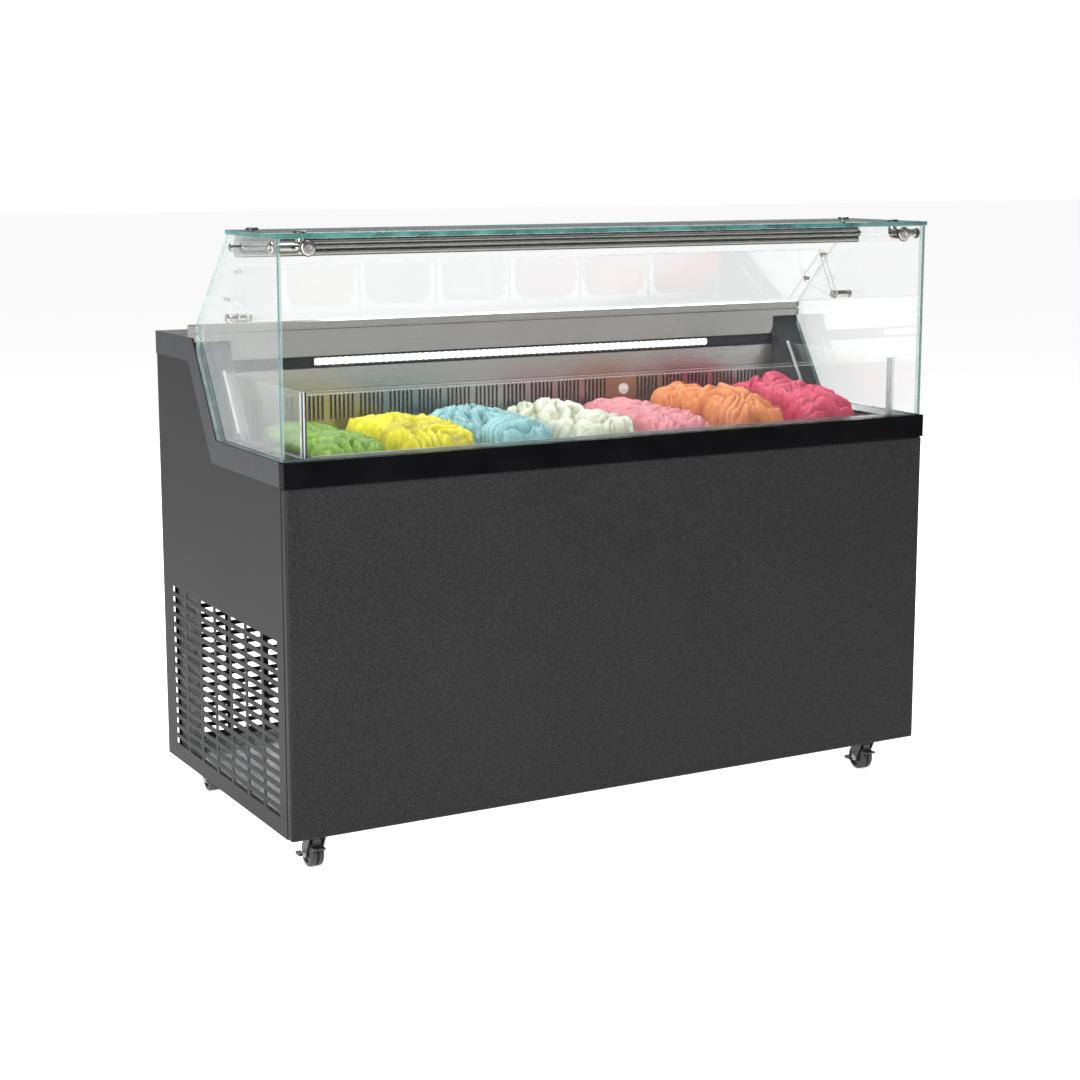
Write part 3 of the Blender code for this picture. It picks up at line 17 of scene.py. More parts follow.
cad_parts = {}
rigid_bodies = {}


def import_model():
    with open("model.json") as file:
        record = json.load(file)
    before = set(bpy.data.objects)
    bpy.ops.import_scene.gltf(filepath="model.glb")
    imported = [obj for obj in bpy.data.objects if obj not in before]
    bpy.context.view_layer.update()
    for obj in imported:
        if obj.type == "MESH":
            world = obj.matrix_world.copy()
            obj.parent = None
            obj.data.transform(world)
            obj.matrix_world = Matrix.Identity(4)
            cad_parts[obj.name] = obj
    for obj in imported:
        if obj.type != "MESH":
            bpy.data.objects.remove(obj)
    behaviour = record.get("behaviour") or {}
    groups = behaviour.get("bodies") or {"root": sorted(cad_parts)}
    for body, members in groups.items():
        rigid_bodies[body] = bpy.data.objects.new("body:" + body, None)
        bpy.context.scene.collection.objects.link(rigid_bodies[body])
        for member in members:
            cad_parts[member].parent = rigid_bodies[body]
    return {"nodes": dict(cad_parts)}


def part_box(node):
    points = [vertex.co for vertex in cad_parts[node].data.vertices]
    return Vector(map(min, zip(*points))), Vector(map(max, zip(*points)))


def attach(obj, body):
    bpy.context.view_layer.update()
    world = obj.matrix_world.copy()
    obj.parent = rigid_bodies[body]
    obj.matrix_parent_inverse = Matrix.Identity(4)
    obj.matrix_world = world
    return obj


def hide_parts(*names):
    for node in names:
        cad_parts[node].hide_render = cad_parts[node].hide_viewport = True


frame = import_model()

log = logging.getLogger("cabinet")
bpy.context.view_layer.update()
CABINET = "cabinet"
Colour = tuple[float, float, float]
Point = Sequence[float]
NOISE_SHIFTS = ((0.0, 0.0, 0.0), (17.3, 5.1, 41.7), (71.9, 29.3, 11.1))
Shape = bmesh.types.BMesh
SIDES = ((-1, "left"), (1, "right"))
SLOPE_FOOT = (0.003, 0.732)
SLOPE_HEAD = (0.115, 0.907)


# ---- Shader expressions --------------------------------------------------------------------
class Signal:
    """A shader socket that Python operators work on, adding a Math node for each."""

    def __init__(self, graph: "Graph", socket: bpy.types.NodeSocket) -> None:
        """Keep the socket and the graph it belongs to."""
        self.graph = graph
        self.socket = socket

    def _math(
        self, operation: str, first: "Value", second: "Value" = 0.0, clamp: bool = False
    ) -> "Signal":
        """Add one Math node.

        Args:
            operation: the node's operation.
            first: its first value.
            second: its second value.
            clamp: whether the result is kept between 0 and 1.

        Returns:
            The node's result.
        """
        settings = {"operation": operation, "use_clamp": clamp}
        return self.graph.node("ShaderNodeMath", settings, {0: first, 1: second})

    def __add__(self, other: "Value") -> "Signal":
        """Return self + other."""
        return self._math("ADD", self, other)

    def __sub__(self, other: "Value") -> "Signal":
        """Return self - other."""
        return self._math("SUBTRACT", self, other)

    def __rsub__(self, other: "Value") -> "Signal":
        """Return other - self."""
        return self._math("SUBTRACT", other, self)

    def __mul__(self, other: "Value") -> "Signal":
        """Return self * other."""
        return self._math("MULTIPLY", self, other)

    __radd__ = __add__
    __rmul__ = __mul__

    def clamped(self) -> "Signal":
        """Return the value kept between 0 and 1."""
        return self._math("ADD", self, 0.0, clamp=True)

    def wave(self) -> "Signal":
        """Return the sine of the value."""
        return self._math("SINE", self)


Value = Signal | float | Sequence[float]


class Graph:
    """The node tree of one material or world."""

    def __init__(self, holder: bpy.types.Material | bpy.types.World) -> None:
        """Empty the holder's node tree."""
        self.holder = holder
        holder.use_nodes = True
        self.tree = holder.node_tree
        self.tree.nodes.clear()

    @classmethod
    def material(cls, name: str) -> "Graph":
        """Return the graph of a new material."""
        return cls(bpy.data.materials.new(name))

    def node(
        self, kind: str, settings: dict | None = None, inputs: dict | None = None, output: str | int = 0
    ) -> Signal | None:
        """Add any node.

        Args:
            kind: the node's type.
            settings: its properties, which are set first.
            inputs: values or signals for its sockets, by name or number.
            output: the socket that is returned.

        Returns:
            The chosen output, or None for a node that has none.
        """
        made = self.tree.nodes.new(kind)
        for key, value in (settings or {}).items():
            setattr(made, key, value)
        for key, value in (inputs or {}).items():
            if isinstance(value, Signal):
                self.tree.links.new(value.socket, made.inputs[key])
            elif value is not None:
                made.inputs[key].default_value = value
        return Signal(self, made.outputs[output]) if made.outputs else None

    def place(self, stretch: Point = (1.0, 1.0, 1.0)) -> Signal:
        """Return object coordinates, scaled per axis by stretch."""
        coordinates = self.node("ShaderNodeTexCoord", output="Object")
        scaled = {0: coordinates, 1: tuple(stretch)}
        return self.node("ShaderNodeVectorMath", {"operation": "MULTIPLY"}, scaled)

    def along(self, axis: str) -> Signal:
        """Return one object coordinate, in metres."""
        return self.node("ShaderNodeSeparateXYZ", None, {0: self.place()}, axis)

    def noise(self, scale: float, stretch: Point = (1.0, 1.0, 1.0), detail: float = 2.0) -> Signal:
        """Return a noise value.

        Args:
            scale: the noise's frequency per metre.
            stretch: a further factor per axis.
            detail: the number of octaves.

        Returns:
            The noise, about 0.5 in the middle.
        """
        inputs = {"Vector": self.place(stretch), "Scale": scale, "Detail": detail}
        return self.node("ShaderNodeTexNoise", None, inputs)

    def mix(self, factor: Value, low: Value, high: Value) -> Signal:
        """Return a colour between low and high."""
        ends = {"Factor": factor, 6: self._colour(low), 7: self._colour(high)}
        return self.node("ShaderNodeMix", {"data_type": "RGBA", "clamp_factor": True}, ends, 2)

    @staticmethod
    def _colour(value: Value) -> Value:
        """Return a plain colour with its alpha, or a signal as it is."""
        return value if isinstance(value, Signal) else (*value, 1.0)

    def bump(self, height: Signal, depth: float, edge: float = 0.0) -> Signal:
        """Return a normal raised by height.

        Args:
            height: the height, from 0 to 1.
            depth: how far height 1 stands up, in metres.
            edge: radius that sharp edges are rounded to, in metres, or 0.

        Returns:
            The bumped normal.
        """
        base = self.node("ShaderNodeBevel", {"samples": 4}, {"Radius": edge}) if edge else None
        return self.node("ShaderNodeBump", None, {"Height": height, "Distance": depth, "Normal": base})

    def finish(self, surface: Signal) -> bpy.types.Material:
        """Send a surface to a material's output and return the material."""
        self.node("ShaderNodeOutputMaterial", None, {"Surface": surface})
        return self.holder

    def principled(self, inputs: dict) -> bpy.types.Material:
        """Finish with one Principled shader that has the given inputs."""
        return self.finish(self.shader(inputs))

    def shader(self, inputs: dict) -> Signal:
        """Add a Principled shader.

        Args:
            inputs: values or signals by socket name; a colour needs no alpha.

        Returns:
            The shader.
        """
        ready = dict(inputs)
        for key in ("Base Color", "Emission Color"):
            if key in ready:
                ready[key] = self._colour(ready[key])
        return self.node("ShaderNodeBsdfPrincipled", None, ready)


# ---- Finishes ------------------------------------------------------------------------------
@dataclass(frozen=True)
class Finish:
    """A named finish that makes its own material."""

    name: str

    def build(self) -> bpy.types.Material:
        """Return the finish's material."""
        raise NotImplementedError


@dataclass(frozen=True)
class PowderCoat(Finish):
    """Fine-textured powder coat on sheet steel."""

    base: Colour = (0.007, 0.007, 0.0077)
    fleck: Colour = (0.030, 0.030, 0.0315)
    roughness: float = 0.50
    specular: float = 0.16

    def build(self) -> bpy.types.Material:
        """Return the material: two sizes of fleck over a faint cloud."""
        graph = Graph.material(self.name)
        grain = graph.noise(640.0, detail=3.0)
        cloud = graph.noise(5.0)
        mask = ((grain - 0.40) * 3.4 + (cloud - 0.5) * 0.35).clamped()
        rough = self.roughness + (grain - 0.5) * 0.25 + (cloud - 0.5) * 0.10
        normal = graph.bump(grain, 0.00022, 0.0012)
        colour = graph.mix(mask, self.base, self.fleck)
        inputs = {"Base Color": colour, "Roughness": rough, "Normal": normal}
        return graph.principled(inputs | {"Specular IOR Level": self.specular})


@dataclass(frozen=True)
class Moulded(Finish):
    """Moulded plastic or rubber with a faint grain and handling marks."""

    colour: Colour
    roughness: float = 0.4
    grain: float = 900.0
    depth: float = 0.00005
    specular: float = 0.5

    def build(self) -> bpy.types.Material:
        """Return the material: grain in the bump, smears in the roughness."""
        graph = Graph.material(self.name)
        grain = graph.noise(self.grain)
        smear = graph.noise(14.0, (1.0, 3.0, 1.0), 4.0)
        light = tuple(min(1.0, channel * 1.35 + 0.004) for channel in self.colour)
        colour = graph.mix((smear - 0.25) * 1.4, self.colour, light)
        rough = (self.roughness + (smear - 0.5) * 0.16 + (grain - 0.5) * 0.06).clamped()
        normal = graph.bump(grain, self.depth, 0.0008)
        inputs = {"Base Color": colour, "Roughness": rough, "Normal": normal}
        return graph.principled(inputs | {"Specular IOR Level": self.specular})


class Brushing(Enum):
    """The way that a metal's brush lines run."""

    ALONG_X = (3.0, 260.0, 260.0)
    ALONG_Y = (260.0, 3.0, 260.0)
    ALONG_Z = (260.0, 260.0, 3.0)
    NONE = (60.0, 60.0, 60.0)


@dataclass(frozen=True)
class Metal(Finish):
    """Bare metal: brushed, polished or cast."""

    colour: Colour
    roughness: float = 0.27
    brushing: Brushing = Brushing.ALONG_X
    depth: float = 0.00004
    edge: float = 0.0008

    def build(self) -> bpy.types.Material:
        """Return the material: brush lines in colour, roughness and bump, over wide smears."""
        graph = Graph.material(self.name)
        lines = graph.noise(4.0, self.brushing.value, 3.0)
        smear = graph.noise(7.0, detail=3.0)
        dark = tuple(channel * 0.78 for channel in self.colour)
        colour = graph.mix((lines - 0.3) * 1.6 + (smear - 0.5) * 0.5, dark, self.colour)
        rough = (self.roughness + (lines - 0.5) * 0.16 + (smear - 0.5) * 0.14).clamped()
        normal = graph.bump(lines, self.depth, self.edge)
        inputs = {"Base Color": colour, "Roughness": rough, "Normal": normal}
        return graph.principled(inputs | {"Metallic": 1.0})


@dataclass(frozen=True)
class Ribbed(Finish):
    """Drawn aluminium section with ribs that run along X."""

    pitch: float = 0.0096
    # light is the aluminium of the rib crests; dark is painted shade in the grooves.
    light: Colour = (0.36, 0.36, 0.33)
    dark: Colour = (0.03, 0.03, 0.028)

    def build(self) -> bpy.types.Material:
        """Return the material: ribs from the height on the section, with painted shade in the grooves
        between them, over brush lines.
        """
        graph = Graph.material(self.name)
        ribs = (graph.along("Z") * (2 * math.pi / self.pitch)).wave() * 0.5 + 0.5
        lines = graph.noise(4.0, Brushing.ALONG_X.value, 3.0)
        # The dark colour paints shade into the grooves between the ribs; the light colour is the
        # crests' own aluminium.
        colour = graph.mix((ribs * 2.2 - 0.25).clamped() * (0.7 + lines * 0.5), self.dark, self.light)
        rough = (0.26 + (lines - 0.5) * 0.2).clamped()
        normal = graph.bump(ribs + lines * 0.1, 0.0006)
        inputs = {"Base Color": colour, "Roughness": rough, "Normal": normal}
        return graph.principled(inputs | {"Metallic": 0.95})


@dataclass(frozen=True)
class Zinc(Finish):
    """Galvanised sheet with its spangle."""

    name: str = "galvanised_sheet"

    def build(self) -> bpy.types.Material:
        """Return the material: cells of different grey with a soft bump."""
        graph = Graph.material(self.name)
        placed = {"Vector": graph.place(), "Scale": 70.0}
        cells = graph.node("ShaderNodeTexVoronoi", None, placed, "Color")
        shade = graph.node("ShaderNodeSeparateColor", None, {0: cells}, 0)
        colour = graph.mix(shade, (0.42, 0.44, 0.45), (0.66, 0.68, 0.69))
        normal = graph.bump(shade, 0.00003, 0.001)
        inputs = {"Base Color": colour, "Roughness": 0.38 + shade * 0.18, "Normal": normal}
        return graph.principled(inputs | {"Metallic": 0.85})


@dataclass(frozen=True)
class Pane(Finish):
    """Clear sheet that mirrors more at a slant; made see-through without bending the view."""

    tint: Colour = (0.995, 0.999, 0.998)
    index: float = 1.24
    haze: float = 0.0
    gloss: float = 0.5

    def build(self) -> bpy.types.Material:
        """Return the material: a transparent and a mirroring shader, mixed by slant and dust."""
        graph = Graph.material(self.name)
        slant = graph.node("ShaderNodeFresnel", None, {"IOR": self.index})
        dust = graph.noise(9.0, detail=5.0)
        clear = graph.node("ShaderNodeBsdfTransparent", None, {"Color": (*self.tint, 1.0)})
        mirror = graph.shader({"Base Color": (0.95, 0.97, 0.97), "Metallic": 1.0, "Roughness": 0.03})
        share = (slant * self.gloss + (dust - 0.45) * self.haze).clamped()
        return graph.finish(graph.node("ShaderNodeMixShader", None, {0: share, 1: clear, 2: mirror}))


@dataclass(frozen=True)
class PaneEdge(Finish):
    """Ground edge of a glass or acrylic sheet, where the colour of the sheet gathers; its pale copies
    paint a highlight on the edge.
    """

    deep: Colour = (0.006, 0.07, 0.06)
    light: Colour = (0.09, 0.29, 0.26)
    body: float = 0.85

    def build(self) -> bpy.types.Material:
        """Return the material: streaks of light and deep tint along the edge, partly see-through."""
        graph = Graph.material(self.name)
        streak = graph.noise(6.0, (4.0, 4.0, 4.0), 3.0)
        fine = graph.noise(500.0)
        colour = graph.mix((streak - 0.3) * 1.8 + (fine - 0.5) * 0.4, self.deep, self.light)
        ground = {"Base Color": colour, "Roughness": 0.22, "Normal": graph.bump(fine, 0.00004)}
        solid = graph.shader(ground)
        clear = graph.node("ShaderNodeBsdfTransparent", None, {"Color": (0.97, 0.99, 0.985, 1.0)})
        share = ((streak - 0.5) * 0.4 + self.body).clamped()
        return graph.finish(graph.node("ShaderNodeMixShader", None, {0: share, 1: clear, 2: solid}))


@dataclass(frozen=True)
class Frozen(Finish):
    """Ice cream: painted shade deeper in its folds, its own colour lighter on its crests, with fine
    crystals.
    """

    deep: Colour
    light: Colour
    gloss: float = 0.42

    def build(self) -> bpy.types.Material:
        """Return the material; the painted shade in the folds comes from the mesh's own fold values."""
        graph = Graph.material(self.name)
        fold = graph.node("ShaderNodeAttribute", {"attribute_name": "fold"}, None, "Fac")
        streak = graph.noise(55.0, (1.0, 0.5, 1.0), 4.0)
        crystals = graph.noise(900.0)
        # The deep colour is painted shade in the folds; the streak noise is the cream's own tone.
        colour = graph.mix((fold * 1.05 + (streak - 0.5) * 0.7).clamped(), self.deep, self.light)
        rough = (self.gloss + (streak - 0.5) * 0.3 + (crystals - 0.5) * 0.1).clamped()
        normal = graph.bump(crystals * 0.35 + streak, 0.0011)
        inputs = {
            "Base Color": colour,
            "Roughness": rough,
            "Normal": normal,
            "Subsurface Weight": 0.12,
            "Subsurface Radius": (1.0, 0.8, 0.6),
            "Subsurface Scale": 0.004,
        }
        return graph.principled(inputs)


@dataclass(frozen=True)
class Glow(Finish):
    """Lit diffuser with a row of brighter spots along X."""

    strength: float = 2.2
    pitch: float = 0.014

    def build(self) -> bpy.types.Material:
        """Return the material: spots in the emission over a white diffuser."""
        graph = Graph.material(self.name)
        spots = (graph.along("X") * (2 * math.pi / self.pitch)).wave() * 0.5 + 0.5
        glow = graph.mix(spots, (0.20, 0.23, 0.26), (1.0, 1.0, 1.0))
        inputs = {"Base Color": (0.9, 0.9, 0.9), "Roughness": 0.4, "Emission Color": glow}
        return graph.principled(inputs | {"Emission Strength": self.strength})


@functools.lru_cache(maxsize=None)
def made(finish: Finish) -> bpy.types.Material:
    """Return the material of a finish, built once."""
    return finish.build()


COAT = PowderCoat("charcoal_coat")
# Lighter copy of the black trim, for the side trims of the same frame as the front trim: painted light.
SIDE_TRIM_PAINTED_LIGHT = Moulded("satin_trim", (0.014, 0.015, 0.018), 0.40, specular=0.3)
GLOSS_TRIM = Moulded("gloss_trim", (0.001, 0.001, 0.0015), 0.24, depth=0.00001, specular=0.03)
DECK_BLACK = Moulded("deck_black", (0.007, 0.008, 0.010), 0.28, specular=0.35)
GASKET_BLACK = Moulded("gasket_black", (0.008, 0.008, 0.008), 0.6)
CHEEK_DARK = Moulded("cheek_dark", (0.024, 0.027, 0.031), 0.42)
PALE_STRIP = Moulded("pale_strip", (0.62, 0.60, 0.56), 0.4)
STEEL = Metal("brushed_steel", (0.52, 0.52, 0.50), 0.30)
HOOD_STEEL = Metal("hood_steel", (0.43, 0.42, 0.40), 0.24)
PAN_STEEL = Metal("pan_steel", (0.72, 0.72, 0.71), 0.20, Brushing.ALONG_Y)
RAIL_METAL = Ribbed("rail_aluminium")
POLISHED = Metal("polished_metal", (0.52, 0.50, 0.47), 0.14, Brushing.NONE, 0.00001)
DULL_METAL = Metal("dull_metal", (0.34, 0.34, 0.35), 0.38, Brushing.NONE)
COPPER = Metal("copper_pipe", (0.72, 0.33, 0.18), 0.28, Brushing.NONE)
FIN_METAL = Metal("fin_metal", (0.58, 0.59, 0.60), 0.35, Brushing.ALONG_Z, edge=0.0)
FOAM = Moulded("foam_skin", (0.42, 0.42, 0.41), 0.6, 300.0, 0.0003)
MACHINE_BLACK = Moulded("machine_black", (0.018, 0.018, 0.02), 0.35)
MACHINE_GREY = PowderCoat("machine_grey", (0.10, 0.10, 0.105), (0.17, 0.17, 0.175), 0.5)
CAP_BROWN = Moulded("cap_brown", (0.022, 0.015, 0.012), 0.28)
WHITE_KNOB = Moulded("white_knob", (0.80, 0.80, 0.78), 0.32)
TYRE = Moulded("tyre_black", (0.014, 0.014, 0.015), 0.42, 420.0, 0.00012)
GREEN_ROCKER = Moulded("green_rocker", (0.03, 0.26, 0.06), 0.25)
GLASS_FACE = Pane("glass_face", haze=0.02)
GLASS_EDGE = PaneEdge("glass_edge")
# Pale copy of the glass edge, for the side panes: a painted highlight along their edges.
GLASS_EDGE_PAINTED_HIGHLIGHT = PaneEdge("glass_edge_painted_highlight", (0.16, 0.30, 0.28), (0.62, 0.74, 0.72), 0.42)
ACRYLIC_FACE = Pane("acrylic_face", (0.995, 0.997, 0.997), 1.20, 0.03)
FLAP_FACE = Pane("flap_face", (0.995, 0.997, 0.997), 1.20, 0.02, 0.2)
# Pale edge for the acrylic sheets of the guard and of the flap with its arms: a painted highlight.
ACRYLIC_EDGE_HIGHLIGHT = PaneEdge("acrylic_edge_painted_highlight", (0.40, 0.44, 0.43), (0.80, 0.84, 0.84), 0.55)
FROSTED = Moulded("frosted_post", (0.50, 0.53, 0.54), 0.3)
GLOW = Glow("light_diffuser")


# ---- Mesh helpers --------------------------------------------------------------------------
Builder = Callable[[Shape], None]


def piece(
    name: str,
    build: Builder,
    finishes: Sequence[Finish],
    body: str = CABINET,
    stands_for: Sequence[str] = (),
    bevel: float = 0.0,
    sharp: float = 35.0,
) -> bpy.types.Object:
    """Make a piece, dress it and hang it on a body.

    Args:
        name: the piece's name.
        build: fills a bmesh with its shape, in the frame's coordinates.
        finishes: its finishes, in the order of the material numbers of its faces.
        body: the body that it rides on.
        stands_for: the CAD nodes that it replaces.
        bevel: width of the rounding on its edges, or 0.
        sharp: edges that turn by more than this many degrees stay sharp.

    Returns:
        The new object.
    """
    shape = bmesh.new()
    build(shape)
    bmesh.ops.recalc_face_normals(shape, faces=shape.faces)
    mesh = bpy.data.meshes.new(name)
    shape.to_mesh(mesh)
    shape.free()
    for finish in finishes:
        mesh.materials.append(made(finish))
    mesh.shade_smooth()
    mesh.set_sharp_from_angle(angle=math.radians(sharp))
    obj = bpy.data.objects.new(name, mesh)
    bpy.context.scene.collection.objects.link(obj)
    if bevel:
        rounding = obj.modifiers.new("rounded_edges", "BEVEL")
        rounding.width = bevel
        rounding.segments = 3
        rounding.limit_method = "ANGLE"
        rounding.angle_limit = math.radians(40)
        rounding.harden_normals = True
    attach(obj, body)
    if stands_for:
        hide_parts(*stands_for)
    return obj


def dress(finish: Finish, *nodes: str) -> None:
    """Give CAD nodes a finish.

    Args:
        finish: the finish to use.
        nodes: names of the nodes.
    """
    for node in nodes:
        for slot in frame["nodes"][node].material_slots:
            slot.material = made(finish)


def middle(node: str) -> Vector:
    """Return the middle of a node's box."""
    low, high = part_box(node)
    return (Vector(low) + Vector(high)) / 2


def block(shape: Shape, low: Point, high: Point, material: int = 0) -> None:
    """Add a box.

    Args:
        shape: the bmesh to add to.
        low: its lowest corner.
        high: its highest corner.
        material: material number of its faces.
    """
    low, high = Vector(low), Vector(high)
    place = Matrix.Translation((low + high) / 2) @ Matrix.Diagonal((*(high - low), 1.0))
    corners = bmesh.ops.create_cube(shape, size=1.0, matrix=place)["verts"]
    for face in {face for corner in corners for face in corner.link_faces}:
        face.material_index = material


def sheet(shape: Shape, outline: Sequence[Point], run: Point, edge_material: int = 1) -> None:
    """Add a flat sheet: an outline swept along its thickness.

    Args:
        shape: the bmesh to add to.
        outline: the corners of one face, in order.
        run: the sweep that gives the sheet its thickness.
        edge_material: material number of the narrow faces; the broad ones have 0.
    """
    near = [shape.verts.new(point) for point in outline]
    far = [shape.verts.new(Vector(point) + Vector(run)) for point in outline]
    shape.faces.new(near)
    shape.faces.new(far[::-1])
    for index, corner in enumerate(near):
        after = (index + 1) % len(near)
        face = shape.faces.new((corner, far[index], far[after], near[after]))
        face.material_index = edge_material


def perforated(
    shape: Shape, outline: Sequence[Point], holes: Sequence[Sequence[Point]], run: Point
) -> None:
    """Add a sheet with holes.

    Args:
        shape: the bmesh to add to.
        outline: the corners of one face, in order.
        holes: the corners of each hole in that face.
        run: the sweep that gives the sheet its thickness.
    """
    edges = []
    for loop in (outline, *holes):
        corners = [shape.verts.new(point) for point in loop]
        edges += [shape.edges.new(ends) for ends in zip(corners, corners[1:] + corners[:1])]
    normal = Vector(run).normalized()
    filled = bmesh.ops.triangle_fill(shape, use_beauty=True, edges=edges, normal=normal)
    faces = [item for item in filled["geom"] if isinstance(item, bmesh.types.BMFace)]
    grown = bmesh.ops.extrude_face_region(shape, geom=faces, use_keep_orig=True)
    moved = [item for item in grown["geom"] if isinstance(item, bmesh.types.BMVert)]
    bmesh.ops.translate(shape, verts=moved, vec=run)


def lathe(
    shape: Shape,
    outline: Sequence[Point],
    base: Point,
    axis: Point,
    sides: int = 32,
    material: int = 0,
) -> None:
    """Add a turned shape.

    Args:
        shape: the bmesh to add to.
        outline: (radius, height) from one end to the other; radius 0 closes an end.
        base: the point that heights start from.
        axis: the direction of the turning axis.
        sides: number of sides.
        material: material number of its faces.
    """
    base = Vector(base)
    turn = Vector((0, 0, 1)).rotation_difference(Vector(axis)).to_matrix()
    rings = []
    for radius, height in outline:
        count = sides if radius > 0 else 1
        angles = [2 * math.pi * step / sides for step in range(count)]
        points = [Vector((radius * math.cos(a), radius * math.sin(a), height)) for a in angles]
        rings.append([shape.verts.new(base + turn @ point) for point in points])
    for here, after in zip(rings, rings[1:]):
        for step in range(sides):
            other = (step + 1) % sides
            corners = [here[step % len(here)], here[other % len(here)]]
            corners += [after[other % len(after)], after[step % len(after)]]
            face = shape.faces.new(list(dict.fromkeys(corners)))
            face.material_index = material


def tube(
    shape: Shape, path: Sequence[Point], radius: float, sides: int = 10, smooth_steps: int = 6
) -> None:
    """Add a round pipe along a smooth path.

    Args:
        shape: the bmesh to add to.
        path: the points it passes through.
        radius: the pipe's radius.
        sides: number of sides.
        smooth_steps: points made between two path points.
    """
    knots = [Vector(point) for point in path]
    knots = [knots[0] * 2 - knots[1], *knots, knots[-1] * 2 - knots[-2]]
    points = []
    for a, b, c, d in zip(knots, knots[1:], knots[2:], knots[3:]):
        for step in range(smooth_steps):
            t = step / smooth_steps
            curve = (2 * a - 5 * b + 4 * c - d) * t**2 + (3 * b - a - 3 * c + d) * t**3
            points.append(0.5 * (2 * b + (c - a) * t + curve))
    points.append(knots[-2])
    side = Vector((0.31, 0.17, 0.93))
    rings = []
    for index, point in enumerate(points):
        after = points[min(index + 1, len(points) - 1)]
        run = (after - points[max(index - 1, 0)]).normalized()
        side = (side - run * side.dot(run)).normalized()
        up = run.cross(side)
        angles = [2 * math.pi * step / sides for step in range(sides)]
        spokes = [side * math.cos(a) + up * math.sin(a) for a in angles]
        rings.append([shape.verts.new(point + radius * spoke) for spoke in spokes])
    for here, after in zip(rings, rings[1:]):
        for step in range(sides):
            other = (step + 1) % sides
            shape.faces.new((here[step], here[other], after[other], after[step]))
    shape.faces.new(rings[0][::-1])
    shape.faces.new(rings[-1])


def disc(radius: float, height: float) -> list[Point]:
    """Return the outline of a plain disc or rod that stands on its base."""
    return [(0.0, 0.0), (radius, 0.0), (radius, height), (0.0, height)]


def cap_outline(radius: float, height: float) -> list[Point]:
    """Return the outline of a low domed cap with a rounded rim and a hollow in its face."""
    shares = ((0, 0), (1, 0), (1, 0.55), (0.93, 0.88), (0.8, 1), (0.42, 1), (0.36, 0.6), (0, 0.6))
    return [(radius * across, height * up) for across, up in shares]


def face_outline(low: Point, high: Point, axis: int, at: float) -> list[Point]:
    """Return the corners of a box's cross-section.

    Args:
        low: the box's lowest corner.
        high: its highest corner.
        axis: the axis that the section is square to, 1 or 2.
        at: the section's place on that axis.

    Returns:
        The four corners, in order.
    """
    other = 3 - axis
    turns = ((low[0], low[other]), (high[0], low[other]), (high[0], high[other]), (low[0], high[other]))
    return [(x, at, v) if axis == 1 else (x, v, at) for x, v in turns]


def screw(shape: Shape, base: Point, axis: Point, radius: float = 0.004) -> None:
    """Add a screw head with a six-sided socket.

    Args:
        shape: the bmesh to add to.
        base: the middle of its underside.
        axis: the direction that it faces.
        radius: the head's radius.
    """
    dome = ((0, 0), (1, 0), (0.94, 0.25), (0.7, 0.45), (0.5, 0.5))
    socket = ((0.5, 0.5), (0.42, 0.2), (0, 0.2))
    for outline, sides in ((dome, 18), (socket, 6)):
        lathe(shape, [(radius * across, radius * up) for across, up in outline], base, axis, sides)


# ---- Sub-assemblies ------------------------------------------------------------------------
@dataclass(frozen=True)
class Slots:
    """A grid of slots: columns along a panel and rows up it."""

    columns: int
    pitch: float
    start: float
    rows: int
    rise: float
    low: float


